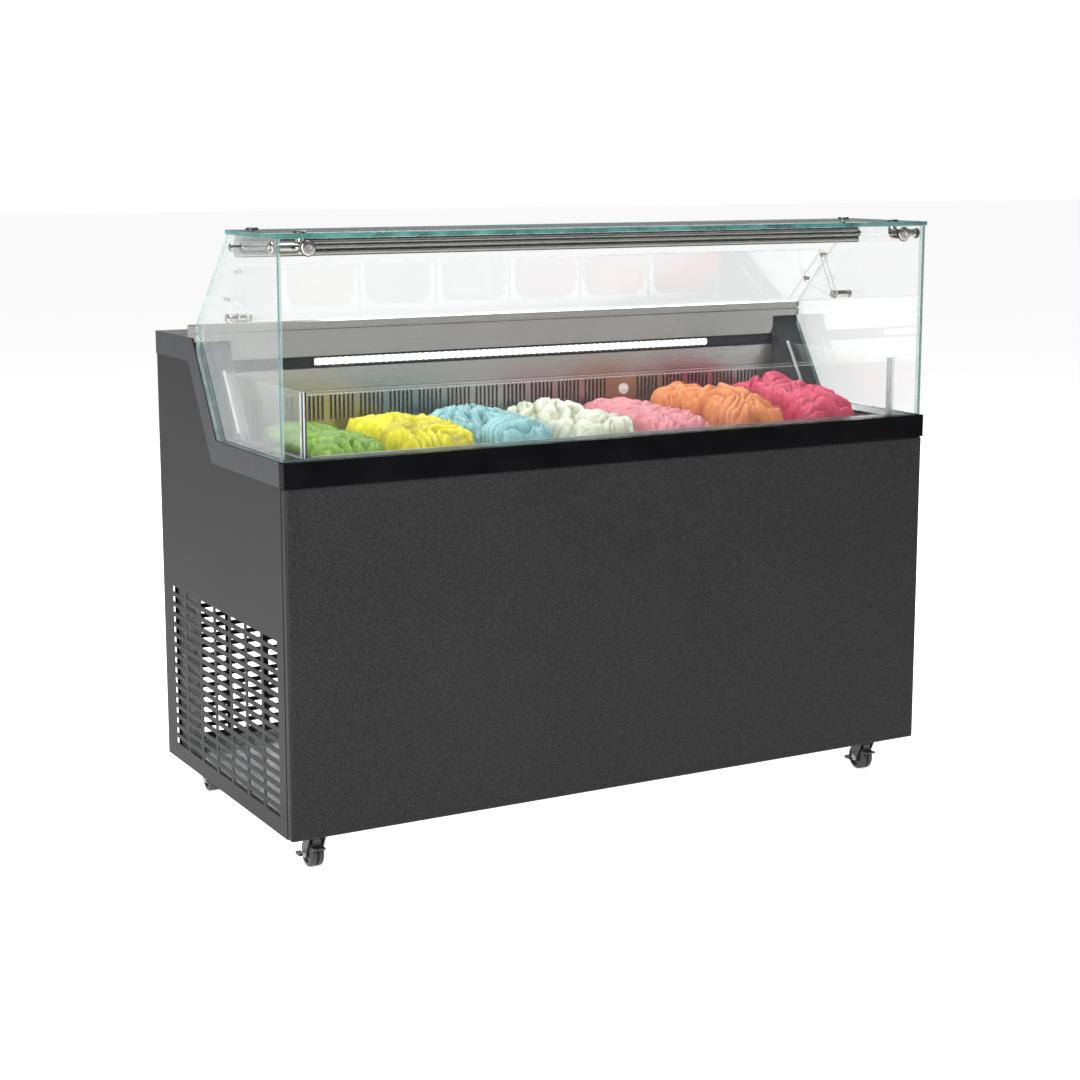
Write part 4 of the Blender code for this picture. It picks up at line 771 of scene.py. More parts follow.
@dataclass
class Body:
    """Panels, trims, base frame and the slotted grilles."""

    screw_radius: float = 0.0042
    screw_rows: int = 4
    screw_inset: Point = (0.010, 0.015)
    sheet: float = 0.0015
    slot: tuple[float, float] = (0.066, 0.011)
    side_slots: Slots = Slots(7, 0.0778, -0.265, 16, 0.0201, 0.107)
    rear_slots: tuple[Slots, Slots] = (
        Slots(4, 0.0778, -0.6216, 16, 0.0201, 0.107),
        Slots(4, 0.0778, 0.3222, 16, 0.0201, 0.107),
    )
    flange: float = 0.014
    corner_shift: float = 0.547

    def build(self) -> None:
        """Dress the panels, make the slotted ones from thin sheet and add the screws of the rear."""
        dress(COAT, "front_panel", "rear_panel")
        for side, name in SIDES:
            build = functools.partial(self.side_panel, side=side)
            old = ["side_panel_" + name]
            piece("side_sheet_" + name, build, [COAT], stands_for=old, sharp=20.0)
        old = ["rear_grille"]
        piece("rear_sheet", self.rear_grille, [COAT], stands_for=old, sharp=20.0)
        dress(GLOSS_TRIM, "front_trim")
        # The side trims take the lighter copy of the trim: painted light.
        dress(SIDE_TRIM_PAINTED_LIGHT, "side_trim_left", "side_trim_right")
        dress(GASKET_BLACK, "glass_gasket")
        dress(Zinc(), "base_frame")
        piece("rear_screws", self.rear_screws, [POLISHED])

    def slots(self, layout: Slots) -> list[list[tuple[float, float]]]:
        """Work out where the slots of a layout lie.

        Args:
            layout: the grid of slots.

        Returns:
            The corners of each slot, along and up the panel.
        """
        corners = []
        for column in range(layout.columns):
            for row in range(layout.rows):
                a = layout.start + layout.pitch * column
                b = layout.low + layout.rise * row
                far, top = a + self.slot[0], b + self.slot[1]
                corners.append([(a, b), (far, b), (far, top), (a, top)])
        return corners

    def side_panel(self, shape: Shape, side: int) -> None:
        """Add a side panel: slotted sheet below, full wall above, and returned edges.

        Args:
            shape: the bmesh to add to.
            side: -1 for the left panel, 1 for the right one.
        """
        low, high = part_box("side_panel_left" if side < 0 else "side_panel_right")
        outer, inner = (low[0], high[0]) if side < 0 else (high[0], low[0])
        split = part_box("tank_insulation")[0][2] - 0.03
        holes = [[(outer, y, z) for y, z in corners] for corners in self.slots(self.side_slots)]
        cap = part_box("worktop")[1][2] - high[2]
        shift = cap * self.corner_shift
        profile = [
            (low[1], low[2]),
            (high[1], low[2]),
            (high[1], high[2]),
            (SLOPE_HEAD[0] + shift, high[2]),
            (SLOPE_FOOT[0] + shift, SLOPE_FOOT[1] - cap),
            (low[1], SLOPE_FOOT[1] - cap),
        ]
        outline = [(outer, y, z) for y, z in profile]
        perforated(shape, outline, holes, (-side * self.sheet, 0.0, 0.0))
        upper = [(low[1], split), (high[1], split), *profile[2:]]
        skin = outer - side * self.sheet
        sheet(shape, [(skin, y, z) for y, z in upper], (inner - skin, 0.0, 0.0), 0)
        near, far = sorted((skin, skin - side * self.flange))
        block(shape, (near, low[1], low[2]), (far, high[1], low[2] + self.sheet))
        block(shape, (near, low[1], low[2] + self.sheet), (far, low[1] + self.sheet, split))
        block(shape, (near, high[1] - self.sheet, low[2] + self.sheet), (far, high[1], split))

    def rear_grille(self, shape: Shape) -> None:
        """Add the slotted sheet of the rear.

        Args:
            shape: the bmesh to add to.
        """
        low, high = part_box("rear_grille")
        slots = [corners for layout in self.rear_slots for corners in self.slots(layout)]
        holes = [[(a, high[1], b) for a, b in corners] for corners in slots]
        perforated(shape, face_outline(low, high, 1, high[1]), holes, (0.0, -self.sheet, 0.0))

    def rear_screws(self, shape: Shape) -> None:
        """Add screws along the edges of the rear panel and the rear grille.

        Args:
            shape: the bmesh to add to.
        """
        for node in ("rear_panel", "rear_grille"):
            low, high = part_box(node)
            along, up = self.screw_inset
            last = self.screw_rows - 1
            span = high[2] - low[2] - 2 * up
            rows = [low[2] + up + span * step / last for step in range(self.screw_rows)]
            for x in (low[0] + along, high[0] - along, 0.0):
                for z in rows if x else rows[::last]:
                    screw(shape, (x, high[1], z), (0, 1, 0), self.screw_radius)


@dataclass
class Tank:
    """Insulation, liner, deck, cheeks, grille, back wall, worktop and light."""

    slots_per_group: int = 6
    group_pitch: float = 0.062
    slot_share: float = 0.52
    separator: float = 0.0085
    knob_field: Point = (0.030, 0.023)
    skin: float = 0.002
    lip: float = 0.003
    strip_width: float = 0.006
    strip_x: float = 0.630
    strip_ends: Point = (0.012, 0.138)

    def build(self) -> None:
        """Dress the CAD nodes and add the finer pieces."""
        dress(FOAM, "tank_insulation")
        dress(STEEL, "tank_liner")
        dress(HOOD_STEEL, "worktop")
        dress(DECK_BLACK, "deck_frame")
        dress(CHEEK_DARK, "cheek_left", "cheek_right")
        dress(WHITE_KNOB, "grille_knob")
        piece("grille_plate", self.grille, [STEEL], stands_for=["vent_grille"])
        old = ["back_wall"]
        piece("back_sheet", self.back_sheet, [STEEL], stands_for=old, bevel=0.0006)
        piece("light_channel", self.channel, [DECK_BLACK], bevel=0.0005)
        old = ["light_bar"]
        piece("light_diffuser", self.diffuser, [GLOW], stands_for=old, sharp=60.0)
        piece("ledge_lip", self.ledge_lip, [STEEL], bevel=0.0008)
        for side, name in SIDES:
            build = functools.partial(self.cheek_strip, side=side)
            piece("cheek_strip_" + name, build, [PALE_STRIP])

    def grille(self, shape: Shape) -> None:
        """Add the grille: two bands joined by bars, in groups, with a plain field at the knob.

        Args:
            shape: the bmesh to add to.
        """
        low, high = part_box("vent_grille")
        knob = middle("grille_knob")
        half, rise = self.knob_field
        foot, head = knob.z - rise, knob.z + rise
        block(shape, low, (high[0], high[1], foot))
        block(shape, (low[0], low[1], head), high)
        slot_span = self.group_pitch - self.separator
        pitch = slot_span / self.slots_per_group
        start = low[0] + self.separator
        filled = low[0]
        while start + slot_span < high[0]:
            if not knob.x - half < start + slot_span / 2 < knob.x + half:
                for slot in range(self.slots_per_group):
                    edge = start + pitch * slot
                    block(shape, (filled, low[1], foot), (edge, high[1], head))
                    filled = edge + pitch * self.slot_share
            start += self.group_pitch
        block(shape, (filled, low[1], foot), (high[0], high[1], head))

    def back_sheet(self, shape: Shape) -> None:
        """Add the plain sheet below the light channel.

        Args:
            shape: the bmesh to add to.
        """
        low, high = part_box("back_wall")
        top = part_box("light_bar")[0][2] - 0.005
        block(shape, low, (high[0], low[1] + self.skin, top))

    def channel(self, shape: Shape) -> None:
        """Add the black channel as a back, two lips and an end cap at each end.

        Args:
            shape: the bmesh to add to.
        """
        low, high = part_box("back_wall")
        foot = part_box("light_bar")[0][2] - 0.0045
        block(shape, (low[0], high[1] - self.skin, foot), high)
        block(shape, (low[0], low[1], foot), (high[0], high[1], foot + self.lip))
        block(shape, (low[0], low[1], high[2] - self.lip), high)
        bar_low, bar_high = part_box("light_bar")
        for near, far in ((low[0], bar_low[0] - 0.001), (bar_high[0] + 0.001, high[0])):
            corner = (far, high[1] - self.skin, high[2] - self.lip)
            block(shape, (near, low[1] + 0.001, foot + self.lip), corner)

    def diffuser(self, shape: Shape) -> None:
        """Add the rounded diffuser of the light bar.

        Args:
            shape: the bmesh to add to.
        """
        low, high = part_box("light_bar")
        centre_z = (low[2] + high[2]) / 2
        half = (high[2] - low[2]) / 2
        arc = [math.radians(90 + 180 * step / 10) for step in range(11)]
        depth = high[1] - low[1]
        bulge = [(high[1] + depth * math.cos(a) * 0.98, centre_z + half * math.sin(a)) for a in arc]
        outline = [(low[0], y, z) for y, z in bulge]
        sheet(shape, outline, (high[0] - low[0], 0.0, 0.0), 0)

    def ledge_lip(self, shape: Shape) -> None:
        """Add the bright folded lip along the front of the tank opening.

        Args:
            shape: the bmesh to add to.
        """
        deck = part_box("deck_frame")[1][2]
        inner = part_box("tank_liner")[0]
        x, y = inner[0] + 0.003, inner[1] + 0.0035
        block(shape, (x, y - 0.001, deck - 0.010), (-x, y + 0.0008, deck + 0.0012))

    def cheek_strip(self, shape: Shape, side: int) -> None:
        """Add the pale strip that lies along the slope of a cheek.

        Args:
            shape: the bmesh to add to.
            side: -1 for the left cheek, 1 for the right one.
        """
        foot = Vector((0.0, *SLOPE_FOOT))
        run = (Vector((0.0, *SLOPE_HEAD)) - foot).normalized()
        out = Vector((0.0, -run.z, run.y))
        start, end = [foot + run * reach + out * 0.0002 for reach in self.strip_ends]
        x = side * self.strip_x
        corners = [start, end, end + out * 0.0012, start + out * 0.0012]
        outline = [(x - self.strip_width / 2, corner.y, corner.z) for corner in corners]
        sheet(shape, outline, (self.strip_width, 0.0, 0.0), 0)


@dataclass
class GlassCase:
    """Panes, rail, clamps, guard and rear flap."""

    chamfer: float = 0.0008
    guard_thickness: float = 0.004
    # Pitch and radius of the white dots that paint the light bar's reflection on the guard's top.
    reflection_dot_pitch: float = 0.006
    reflection_dot_radius: float = 0.0011
    pane_heel: float = 0.933
    clamp_at: Point = (0.622, -0.279, 1.086)
    clamp_top_y: float = -0.272
    stud_at: Point = (0.637, -0.096)
    rail_end: Point = (0.675, -0.096, 1.080)
    rail_front: float = -0.112
    rail_half: float = 0.665
    arm_x: float = 0.642
    bolts: tuple[Point, Point] = ((-0.030, 1.035), (0.026, 0.984))
    arm_tips: tuple[Point, Point] = ((-0.022, 1.040), (0.034, 0.984))
    pivot: Point = (-0.070, 0.956)
    flap_edges: tuple[Point, Point] = ((-0.025, 1.047), (0.085, 0.937))
    flap_inset: float = 0.0056
    flap_sheet: float = 0.004
    arm_thickness: float = 0.005
    arm_half: float = 0.007

    def build(self) -> None:
        """Replace the plain panes by ground ones and add the fittings."""
        # The side panes' edges take the pale copy of the glass edge: a painted highlight.
        glass, pale = [GLASS_FACE, GLASS_EDGE], [GLASS_FACE, GLASS_EDGE_PAINTED_HIGHLIGHT]
        piece("front_pane", self.front, glass, stands_for=["front_glass"], bevel=self.chamfer)
        piece("top_pane", self.top, glass, stands_for=["top_glass"], bevel=self.chamfer)
        for side, name in SIDES:
            build, old = functools.partial(self.side, side=side), ["side_glass_" + name]
            piece("side_pane_" + name, build, pale, stands_for=old, bevel=self.chamfer)
            build, old = functools.partial(self.clamp, side=side), ["corner_clamp_" + name]
            piece("clamp_" + name, build, [POLISHED, CAP_BROWN], stands_for=old)
            build = functools.partial(self.rail_caps, side=side)
            piece("rail_caps_" + name, build, [CAP_BROWN, POLISHED])
            build = functools.partial(self.flap_bolts, side=side)
            piece("flap_bolts_" + name, build, [POLISHED], body="flap")
        dress(RAIL_METAL, "top_profile")
        dress(POLISHED, "flap_pivot_left", "flap_pivot_right")
        piece("rail_insert", self.rail_insert, [GASKET_BLACK])
        flap = [FLAP_FACE, ACRYLIC_EDGE_HIGHLIGHT]
        piece("flap_sheet", self.flap, flap, "flap", ["rear_flap"], bevel=0.0005)
        acrylic = [ACRYLIC_FACE, ACRYLIC_EDGE_HIGHLIGHT]
        piece("guard_sheets", self.guard, acrylic, stands_for=["acrylic_guard"])
        piece("guard_posts", self.posts, [DECK_BLACK, FROSTED], bevel=0.0006)
        # White dots along the guard's top edge: a painted reflection of the light bar.
        piece("guard_dots", self.painted_reflection_dots, [WHITE_KNOB])

    def front(self, shape: Shape) -> None:
        """Add the front pane.

        Args:
            shape: the bmesh to add to.
        """
        low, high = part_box("front_glass")
        sheet(shape, face_outline(low, high, 1, low[1]), (0.0, high[1] - low[1], 0.0))

    def top(self, shape: Shape) -> None:
        """Add the top pane.

        Args:
            shape: the bmesh to add to.
        """
        low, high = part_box("top_glass")
        sheet(shape, face_outline(low, high, 2, low[2]), (0.0, 0.0, high[2] - low[2]))

    def side(self, shape: Shape, side: int) -> None:
        """Add a side pane, with its slanted foot and rear edge.

        Args:
            shape: the bmesh to add to.
            side: -1 for the left pane, 1 for the right one.
        """
        low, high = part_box("side_glass_left" if side < 0 else "side_glass_right")
        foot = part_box("deck_frame")[1]
        rise = (SLOPE_HEAD[1] - foot[2]) / (SLOPE_HEAD[0] - SLOPE_FOOT[0])
        points = [
            (low[1], low[2]),
            (foot[1] - 0.0002, low[2]),
            (high[1], foot[2] + (high[1] - foot[1]) * rise + 0.001),
            (high[1], self.pane_heel),
            (high[1] + self.pane_heel - high[2], high[2]),
            (low[1], high[2]),
        ]
        sheet(shape, [(low[0], y, z) for y, z in points], (high[0] - low[0], 0.0, 0.0))

    def clamp(self, shape: Shape, side: int) -> None:
        """Add a three-way clamp: barrels inside the case and a cap on each pane.

        Args:
            shape: the bmesh to add to.
            side: -1 or 1.
        """
        front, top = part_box("front_glass"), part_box("top_glass")
        outer_x = side * front[1][0]
        inner_x = outer_x - side * 0.008
        x, y, z = side * self.clamp_at[0], *self.clamp_at[1:]
        top_y = self.clamp_top_y
        barrel = [(0.0, 0.0), (0.0105, 0.0), (0.0105, 0.024), (0.0095, 0.0255), (0.0, 0.0255)]
        lathe(shape, barrel, (x, front[1][1], z), (0, 1, 0))
        lathe(shape, [(0.0085, 0.0), (0.0085, abs(inner_x - x))], (x, y, z), (side, 0, 0))
        lathe(shape, [(0.0080, 0.0), (0.0080, top[0][2] - z)], (x, top_y, z), (0, 0, 1))
        lathe(shape, disc(0.0142, 0.0007), (x, front[0][1], z), (0, -1, 0), material=1)
        lathe(shape, cap_outline(0.0125, 0.0028), (x, front[0][1] - 0.0007, z), (0, -1, 0))
        lathe(shape, cap_outline(0.0105, 0.0034), (outer_x, y, z), (side, 0, 0))
        lathe(shape, cap_outline(0.0110, 0.0034), (x, top_y, top[1][2]), (0, 0, 1), material=1)

    def rail_caps(self, shape: Shape, side: int) -> None:
        """Add the caps of the rail's studs, on the top pane and on a side pane.

        Args:
            shape: the bmesh to add to.
            side: -1 or 1.
        """
        stud = (side * self.stud_at[0], self.stud_at[1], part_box("top_glass")[1][2])
        end = (side * self.rail_end[0], *self.rail_end[1:])
        lathe(shape, cap_outline(0.0112, 0.0035), stud, (0, 0, 1))
        lathe(shape, cap_outline(0.0072, 0.0037), end, (side, 0, 0), material=1)

    def rail_insert(self, shape: Shape) -> None:
        """Add the black strip in the groove of the rail.

        Args:
            shape: the bmesh to add to.
        """
        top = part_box("top_glass")[0][2] - 0.0003
        x, front = self.rail_half, self.rail_front
        block(shape, (-x, front + 0.0035, top - 0.0092), (x, front + 0.0078, top - 0.0048))

    def flap_bolts(self, shape: Shape, side: int) -> None:
        """Add the two bolts that join a flap arm to the clear sheet.

        Args:
            shape: the bmesh to add to.
            side: -1 or 1.
        """
        x = side * self.arm_x
        barrel = [(0.0, 0.0), (0.0042, 0.0), (0.0042, 0.0035), (0.0034, 0.0042), (0.0, 0.0042)]
        for y, z in self.bolts:
            lathe(shape, barrel, (x, y, z), (side, 0, 0), 20)
            inner = (x - side * self.arm_thickness, y, z)
            lathe(shape, cap_outline(0.0052, 0.003), inner, (-side, 0, 0), 20)

    def flap(self, shape: Shape) -> None:
        """Add the clear flap: one slanted sheet and a V-shaped arm at each end.

        Args:
            shape: the bmesh to add to.
        """
        low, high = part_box("rear_flap")
        across = Vector((0.0, 0.7071, 0.7071))
        top, foot = self.flap_edges
        left, right = low[0] + self.flap_inset, high[0] - self.flap_inset
        face = [(left, *top), (left, *foot), (right, *foot), (right, *top)]
        sheet(shape, face, -across * self.flap_sheet)
        pivot = Vector((0.0, *self.pivot))
        for side, _ in SIDES:
            x = side * self.arm_x
            for tip in self.arm_tips:
                end = Vector((0.0, *tip))
                run = (end - pivot).normalized()
                wide = Vector((0.0, -run.z, run.y)) * self.arm_half
                start = pivot - run * 0.008
                strip = [start - wide, end - wide, end + wide, start + wide]
                outline = [(x, point.y, point.z) for point in strip]
                sheet(shape, outline, (-side * self.arm_thickness, 0.0, 0.0))

    def guard(self, shape: Shape) -> None:
        """Add the three clear sheets of the guard.

        Args:
            shape: the bmesh to add to.
        """
        low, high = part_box("acrylic_guard")
        x, y = high[0], low[1] + 0.001
        top = high[2] - 0.001
        front = face_outline((-x + 0.002, y, low[2]), (x - 0.002, y, top), 1, y)
        sheet(shape, front, (0.0, self.guard_thickness, 0.0))
        rise = (SLOPE_HEAD[1] - SLOPE_FOOT[1]) / (SLOPE_HEAD[0] - SLOPE_FOOT[0])
        rear_foot, rear_head = [
            SLOPE_FOOT[0] + (z - SLOPE_FOOT[1]) / rise - self.guard_thickness for z in (low[2], top)
        ]
        for side, _ in SIDES:
            edge = side * (x - 0.001)
            corners = [(y + 0.006, low[2]), (rear_foot, low[2]), (rear_head, top), (y + 0.006, top)]
            sheet(shape, [(edge, v, w) for v, w in corners], (-side * self.guard_thickness, 0.0, 0.0))

    def posts(self, shape: Shape) -> None:
        """Add a corner post at each end of the front sheet: a dark angle with pale bands on the left,
        all pale on the right, which is painted light.

        Args:
            shape: the bmesh to add to.
        """
        low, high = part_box("acrylic_guard")
        x, y, z = high[0], low[1], low[2]
        for side, _ in SIDES:
            # The right post's dark bands take the pale finish: painted light that makes it lighter than
            # the left one.
            dark = 0 if side < 0 else 1
            bands = ((0.013, 0.0105, dark), (0.0100, 0.0070, 1), (0.0065, 0.0052, dark))
            for outer, inner, material in bands:
                near, far = sorted((side * (x - outer), side * (x - inner)))
                block(shape, (near, y + 0.005, z), (far, y + 0.012, high[2] - 0.002), material)

    def painted_reflection_dots(self, shape: Shape) -> None:
        """Add the row of small white dots along the top of the front sheet: a painted reflection of the
        light bar's spots.

        Args:
            shape: the bmesh to add to.
        """
        low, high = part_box("acrylic_guard")
        radius = self.reflection_dot_radius
        outline = [(0.0, 0.0), (radius, 0.0), (radius * 0.7, 0.0005), (0.0, 0.0006)]
        for number in range(int((high[0] - low[0] - 0.03) / self.reflection_dot_pitch)):
            x = low[0] + 0.015 + self.reflection_dot_pitch * number
            lathe(shape, outline, (x, low[1] + 0.001, high[2] - 0.006), (0, -1, 0), 8)


class Swirl(Enum):
    """How an ice cream's surface is worked: ribbons, petals or lumps."""

    RIBBONS = "ribbons"
    PETALS = "petals"
    LUMPS = "lumps"


@dataclass
class IceCream:
    """One mound, built as a fine sheet over its pan with folds that lean over."""

    number: int
    # deep is the painted shade of the folds; light is the cream's own colour.
    deep: Colour
    light: Colour
    swirl: Swirl
    angle: float
    wavelength: float
    fold_height: float = 0.017
    lean: float = 0.009
    columns: int = 84
    rows: int = 176

    def build(self) -> None:
        """Add the mound and write its fold values, which set the painted shade in its folds."""
        node = "ice_cream_%d" % self.number
        low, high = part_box(node)
        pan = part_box("pan_%d" % self.number)
        self.low, self.high, self.rim = Vector(low), Vector(high), pan[1][2]
        self.rise = high[2] - self.rim
        self.folds: list[float] = []
        name = "mound_%d" % self.number
        finish = Frozen("frozen_%d" % self.number, self.deep, self.light)
        body = "pan_body_%d" % self.number
        obj = piece(name, self.surface, [finish], body, [node], sharp=180.0)
        values = obj.data.attributes.new("fold", "FLOAT", "POINT")
        values.data.foreach_set("value", self.folds)

    def warp(self, x: float, y: float, frequency: float, shift: float) -> Vector:
        """Return a smooth random vector at a point, the same in every run."""
        point = Vector((x * frequency, y * frequency, self.number * 7.3 + shift))
        return Vector([noise.noise(point + Vector(apart)) for apart in NOISE_SHIFTS])

    def fold(self, x: float, y: float) -> tuple[float, float]:
        """Return how far folds and fine streaks stand up at a point.

        Args:
            x: place across the pan, from its middle.
            y: place along the pan.

        Returns:
            The fold's height and the streak's height, each from 0 to 1.
        """
        bend = self.warp(x, y, 11.0, 0.0)
        curl = self.warp(x, y, 26.0, 3.0)
        turn = self.angle + bend.z * 1.3
        u = x * math.cos(turn) + y * math.sin(turn)
        v = y * math.cos(turn) - x * math.sin(turn)
        along = u / self.wavelength + bend.x * 1.5 + curl.x * 0.25
        across = v / (self.wavelength * 1.5) + bend.y * 1.3 + curl.y * 0.3
        small = self.warp(x, y, 60.0, 5.0)
        minor = abs(math.sin(math.pi * (along * 2.3 + across * 0.7 + small.x * 0.5))) ** 0.7
        ridge = 0.74 * abs(math.sin(math.pi * along)) ** 0.62 + 0.26 * minor
        cross = 0.80 * abs(math.sin(math.pi * across)) ** 0.55 + 0.20 * minor
        streak = 0.5 + 0.5 * math.sin(2 * math.pi * (across * 5.0 + curl.z * 0.9))
        if self.swirl is Swirl.RIBBONS:
            return ridge * (0.72 + 0.28 * cross), streak
        if self.swirl is Swirl.PETALS:
            return ridge * cross, streak * 0.8
        return 0.55 * ridge + 0.45 * cross, streak * 0.6

    def surface(self, shape: Shape) -> None:
        """Add the mound's surface: a dome with lumps, then folds that lean to one side.

        Args:
            shape: the bmesh to add to.
        """
        centre = (self.low + self.high) / 2
        half_x = (self.high.x - self.low.x) / 2 - 0.001
        half_y = (self.high.y - self.low.y) / 2 - 0.001
        lean_x, lean_y = math.cos(self.angle) * self.lean, math.sin(self.angle) * self.lean
        grid = []
        for row in range(self.rows + 1):
            v = 2 * row / self.rows - 1
            line = []
            for column in range(self.columns + 1):
                u = 2 * column / self.columns - 1
                x = half_x * u * math.sqrt(1 - 0.10 * v**4)
                y = half_y * v * math.sqrt(1 - 0.05 * u**4)
                edge = (1 - abs(u) ** 5) * (1 - abs(v) ** 8)
                dome = (1 - 0.72 * abs(u) ** 2.3) * (1 - 0.45 * abs(v) ** 3.0)
                lump = self.warp(x, y, 9.0, 11.0).x * 0.36 + self.warp(x, y, 30.0, 13.0).y * 0.16
                fold, streak = self.fold(x, y)
                body = max(self.rise - self.fold_height, 0.012)
                rise = body * (dome + lump) * min(1.0, edge * 1.6)
                rise += self.fold_height * fold * min(1.0, edge * 3.0)
                rise += 0.0013 * streak * min(1.0, edge * 4.0)
                rise = max(rise, -0.004) - 0.004 * (1 - min(1.0, edge * 3.0))
                push = fold * min(1.0, edge * 2.0)
                place = (centre.x + x + lean_x * push, centre.y + y + lean_y * push)
                line.append(shape.verts.new((*place, self.rim + rise)))
                # Fold values: low in the hollows, where the material paints shade, high on the crests.
                crest = max(0.0, min(1.0, fold * 1.15 - 0.1))
                self.folds.append(crest * (0.75 + 0.25 * streak))
            grid.append(line)
        for near, far in zip(grid, grid[1:]):
            for column in range(self.columns):
                shape.faces.new((near[column], near[column + 1], far[column + 1], far[column]))


@dataclass
class Display:
    """The row of pans and what they hold."""

    def build(self) -> None:
        """Dress the pans and build the seven mounds."""
        dress(PAN_STEEL, *("pan_%d" % number for number in range(1, 8)))
        # Each mound: number, deep colour of its painted fold shade, own colour, swirl, angle,
        # wavelength, fold height.
        mounds = (
            IceCream(1, (0.030, 0.09, 0.003), (0.20, 0.38, 0.035), Swirl.RIBBONS, 0.9, 0.034, 0.019),
            IceCream(2, (0.28, 0.24, 0.001), (0.80, 0.74, 0.02), Swirl.RIBBONS, 0.3, 0.040, 0.026),
            IceCream(3, (0.025, 0.15, 0.17), (0.34, 0.62, 0.64), Swirl.RIBBONS, 2.4, 0.032, 0.023),
            IceCream(4, (0.36, 0.38, 0.23), (0.88, 0.90, 0.78), Swirl.PETALS, 0.5, 0.038, 0.029),
            IceCream(5, (0.40, 0.04, 0.07), (0.84, 0.34, 0.38), Swirl.LUMPS, 1.2, 0.032, 0.022),
            IceCream(6, (0.38, 0.05, 0.006), (0.88, 0.34, 0.12), Swirl.RIBBONS, 2.0, 0.040, 0.030),
            IceCream(7, (0.24, 0.002, 0.02), (0.78, 0.08, 0.17), Swirl.RIBBONS, 0.7, 0.036, 0.026),
        )
        for mound in mounds:
            mound.build()


